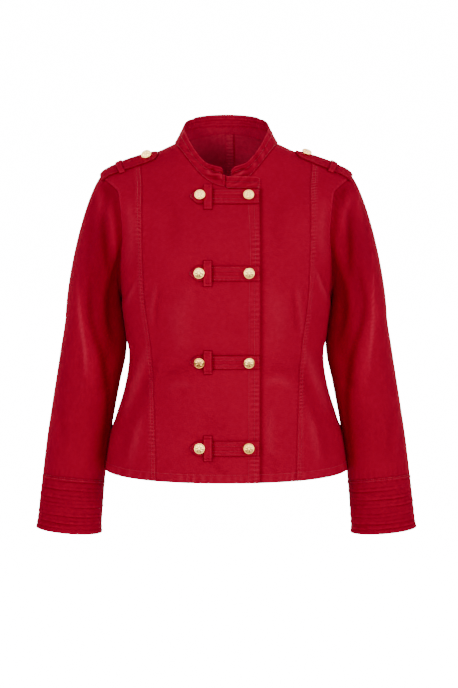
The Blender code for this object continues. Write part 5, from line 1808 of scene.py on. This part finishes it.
# %% Buttons
FRONT_BUTTONS = [f"button_{row}_{word}" for row in (1, 2, 3, 4) for _, word in WORDS]
SHOULDER_BUTTONS = [f"epaulette_button_{word}" for _, word in WORDS]
for name, chosen, nodes in (("front_buttons_brass", seats[:8], FRONT_BUTTONS),
                            ("shoulder_buttons_brass", seats[8:], SHOULDER_BUTTONS)):
    lines = [(np.array([point]), np.array([normal])) for point, normal in chosen]
    made = instanced(name, lines, button, 0.0, BRASS, POINT_TREE)
    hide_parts(*nodes)
    print(name, "triangles:", 2 * len(made.data.polygons))
bpy.data.objects.remove(button)

# %% [markdown]
# ### Topstitching
# The seams are sewn with a heavy thread at about eight stitches in 25 mm. They could be painted,
# but a real thread stands out and casts small shadows. Each stitch is a short bent strand that
# dips into the cloth at both ends. It has only ten faces, because there are thousands of them.

# %% Stitches
STITCH_PITCH, STITCH_LENGTH, STITCH_WIDTH = 3.1, 2.5, 0.55
STITCH_BENDS = ((-0.5, -0.25, 0.6), (0.0, 0.2, 1.0), (0.5, -0.25, 0.6))  # share, height, size


def add_stitch_mesh():
    """One stitch along X, with its ends below the face of the cloth."""
    points = []
    for share, z, size in STITCH_BENDS:
        x, half = share * STITCH_LENGTH, size * STITCH_WIDTH / 2
        points += [(x, -half, z), (x, 0.0, z + half), (x, half, z), (x, 0.0, z - half)]
    faces = [(4 * k + i, 4 * k + (i + 1) % 4, 4 * k + 4 + (i + 1) % 4, 4 * k + 4 + i)
             for k in range(2) for i in range(4)] + [(0, 3, 2, 1), (8, 9, 10, 11)]
    return add_mesh("stitch", np.array(points), np.array(faces), THREAD, sharp=180.0)


stitch = add_stitch_mesh()
for group, lines in SEAMS.items():
    made = instanced(group, lines, stitch, STITCH_PITCH, THREAD, LINE_TREE)
    metres = sum(run_of(points)[-1] for points, _ in lines) / 1000
    print(f"{group}: {metres:.1f} m of seam, {2 * len(made.data.polygons)} triangles")
bpy.data.objects.remove(stitch)

# %% [markdown]
# ## Studio
# A pale floor lies below, and the surround is an even white, as for a catalogue picture. In such
# a studio the white paper is lit apart from the garment. So the surround has three strengths: a
# bright one for the camera, which prints as white, a low one that it gives as light, so that the
# folds keep their shadows, and one between them that polished metal mirrors.

# %% Floor and surround
WHITE_LEVEL = 16.0      # what the camera sees of the surround, so that it prints as white paper
SURROUND_LEVEL = 0.22   # what the surround gives as light
MIRRORED_LEVEL = 6.6    # what polished metal mirrors of it
FLOOR_REACH, FLOOR_Z, FLOOR_SCUFF = 14.0, -1.5, 333.0       # two in metres, the scuffs in mm


def add_floor():
    """A painted floor, rolled on in coats, so the eye finds it matt, white and all but even."""
    mesh = bpy.data.meshes.new("floor")
    corners = [(x * FLOOR_REACH, y * FLOOR_REACH, FLOOR_Z)
               for x, y in ((-1, -1), (1, -1), (1, 1), (-1, 1))]
    mesh.from_pydata(corners, [], [(0, 1, 2, 3)])
    finish, tree, shader = new_material("pale studio floor", Roughness=0.9)
    place = node(tree, PLACE).outputs["Object"]
    scuffs = node(tree, NOISE, Vector=place, Scale=repeats(FLOOR_SCUFF))
    colour = node(tree, MIX, COLOURS, scuffs, linear("#FAFAFA"), linear("#FEFEFE"))
    seen = node(tree, "ShaderNodeLightPath").outputs["Is Camera Ray"]
    feed(tree, shader["Base Color"], colour)
    feed(tree, shader["Emission Color"], colour)
    feed(tree, shader["Emission Strength"], node(tree, MATH, MULTIPLY, seen, WHITE_LEVEL))
    mesh.materials.append(finish)
    placed("floor", mesh)


def add_surround():
    world = bpy.data.worlds.new("white surround")
    world.use_nodes = True
    tree = world.node_tree
    path = node(tree, "ShaderNodeLightPath").outputs
    level = node(tree, MATH, MULTIPLY, path["Is Glossy Ray"], MIRRORED_LEVEL - SURROUND_LEVEL)
    level = node(tree, MATH, MULTIPLY_ADD, path["Is Camera Ray"], WHITE_LEVEL - SURROUND_LEVEL,
                 level)
    surround = tree.nodes["Background"]
    surround.inputs["Color"].default_value = linear("#FFFFFF")
    feed(tree, surround.inputs["Strength"], node(tree, MATH, ADD, level, SURROUND_LEVEL))
    bpy.context.scene.world = world


add_floor()
add_surround()
print("surround:", bpy.context.scene.world.name)

# %% [markdown]
# ### Lights
# Large square lights stand in for softboxes. Two strong ones at either side of the camera model
# the folds, a weak one in front opens the shadows, and two behind draw the edges of the back.

# %% Lights
LIGHTS_AIM = (0.0, 0.0, -0.3)
LIGHTS = (
    # name         place, m            side, m  power, W
    ("key",        (-2.1, -2.6, 1.0),  1.2,     53.0),
    ("fill",       (2.5, -2.3, 0.5),   1.5,     54.0),
    ("front",      (0.0, -4.4, 0.5),   1.2,     22.0),
    ("top",        (0.0, -0.9, 2.3),   1.6,     5.0),
    ("back right", (-1.0, 3.0, 0.6),   1.8,     44.0),
    ("back left",  (1.1, 3.0, 0.4),    1.8,     40.0),
)
for name, place, size, power in LIGHTS:
    light = bpy.data.lights.new(name, "AREA")
    light.shape, light.size, light.energy = "SQUARE", size, power
    x, y, z = np.array(LIGHTS_AIM) - np.array(place)
    made = placed(name, light)
    made.location = place
    made.rotation_euler = (math.atan2(z, math.hypot(x, y)) + math.pi / 2, 0.0,
                           math.atan2(y, x) - math.pi / 2)
print("lights:", len(LIGHTS))

# %% [markdown]
# ### Camera
# The camera stands three metres away, level with the shoulder line, and looks a little down. A
# wider lens nearer by would swell the chest. This long one keeps the flat look of the photo, and
# with its tilt the jacket lies where the photo has it.

# %% Camera
CAMERA_PLACE, LOOK_DOWN = (0.0046, -3.0, 0.0), 6.39     # metres and degrees
LENS, SENSOR = 92.9, 36.0                               # millimetres
camera_data = bpy.data.cameras.new("camera")
camera_data.lens, camera_data.sensor_fit = LENS, "VERTICAL"
camera_data.sensor_width, camera_data.sensor_height = SENSOR, SENSOR
camera = placed("camera", camera_data)
camera.location = CAMERA_PLACE
camera.rotation_euler = (math.radians(90 - LOOK_DOWN), 0.0, 0.0)
bpy.context.scene.camera = camera
print("camera lens, mm:", round(camera_data.lens, 1))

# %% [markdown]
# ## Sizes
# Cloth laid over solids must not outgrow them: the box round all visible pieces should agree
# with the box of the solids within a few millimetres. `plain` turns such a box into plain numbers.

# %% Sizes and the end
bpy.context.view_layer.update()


def plain(box):
    return [[float(value) for value in corner] for corner in box]
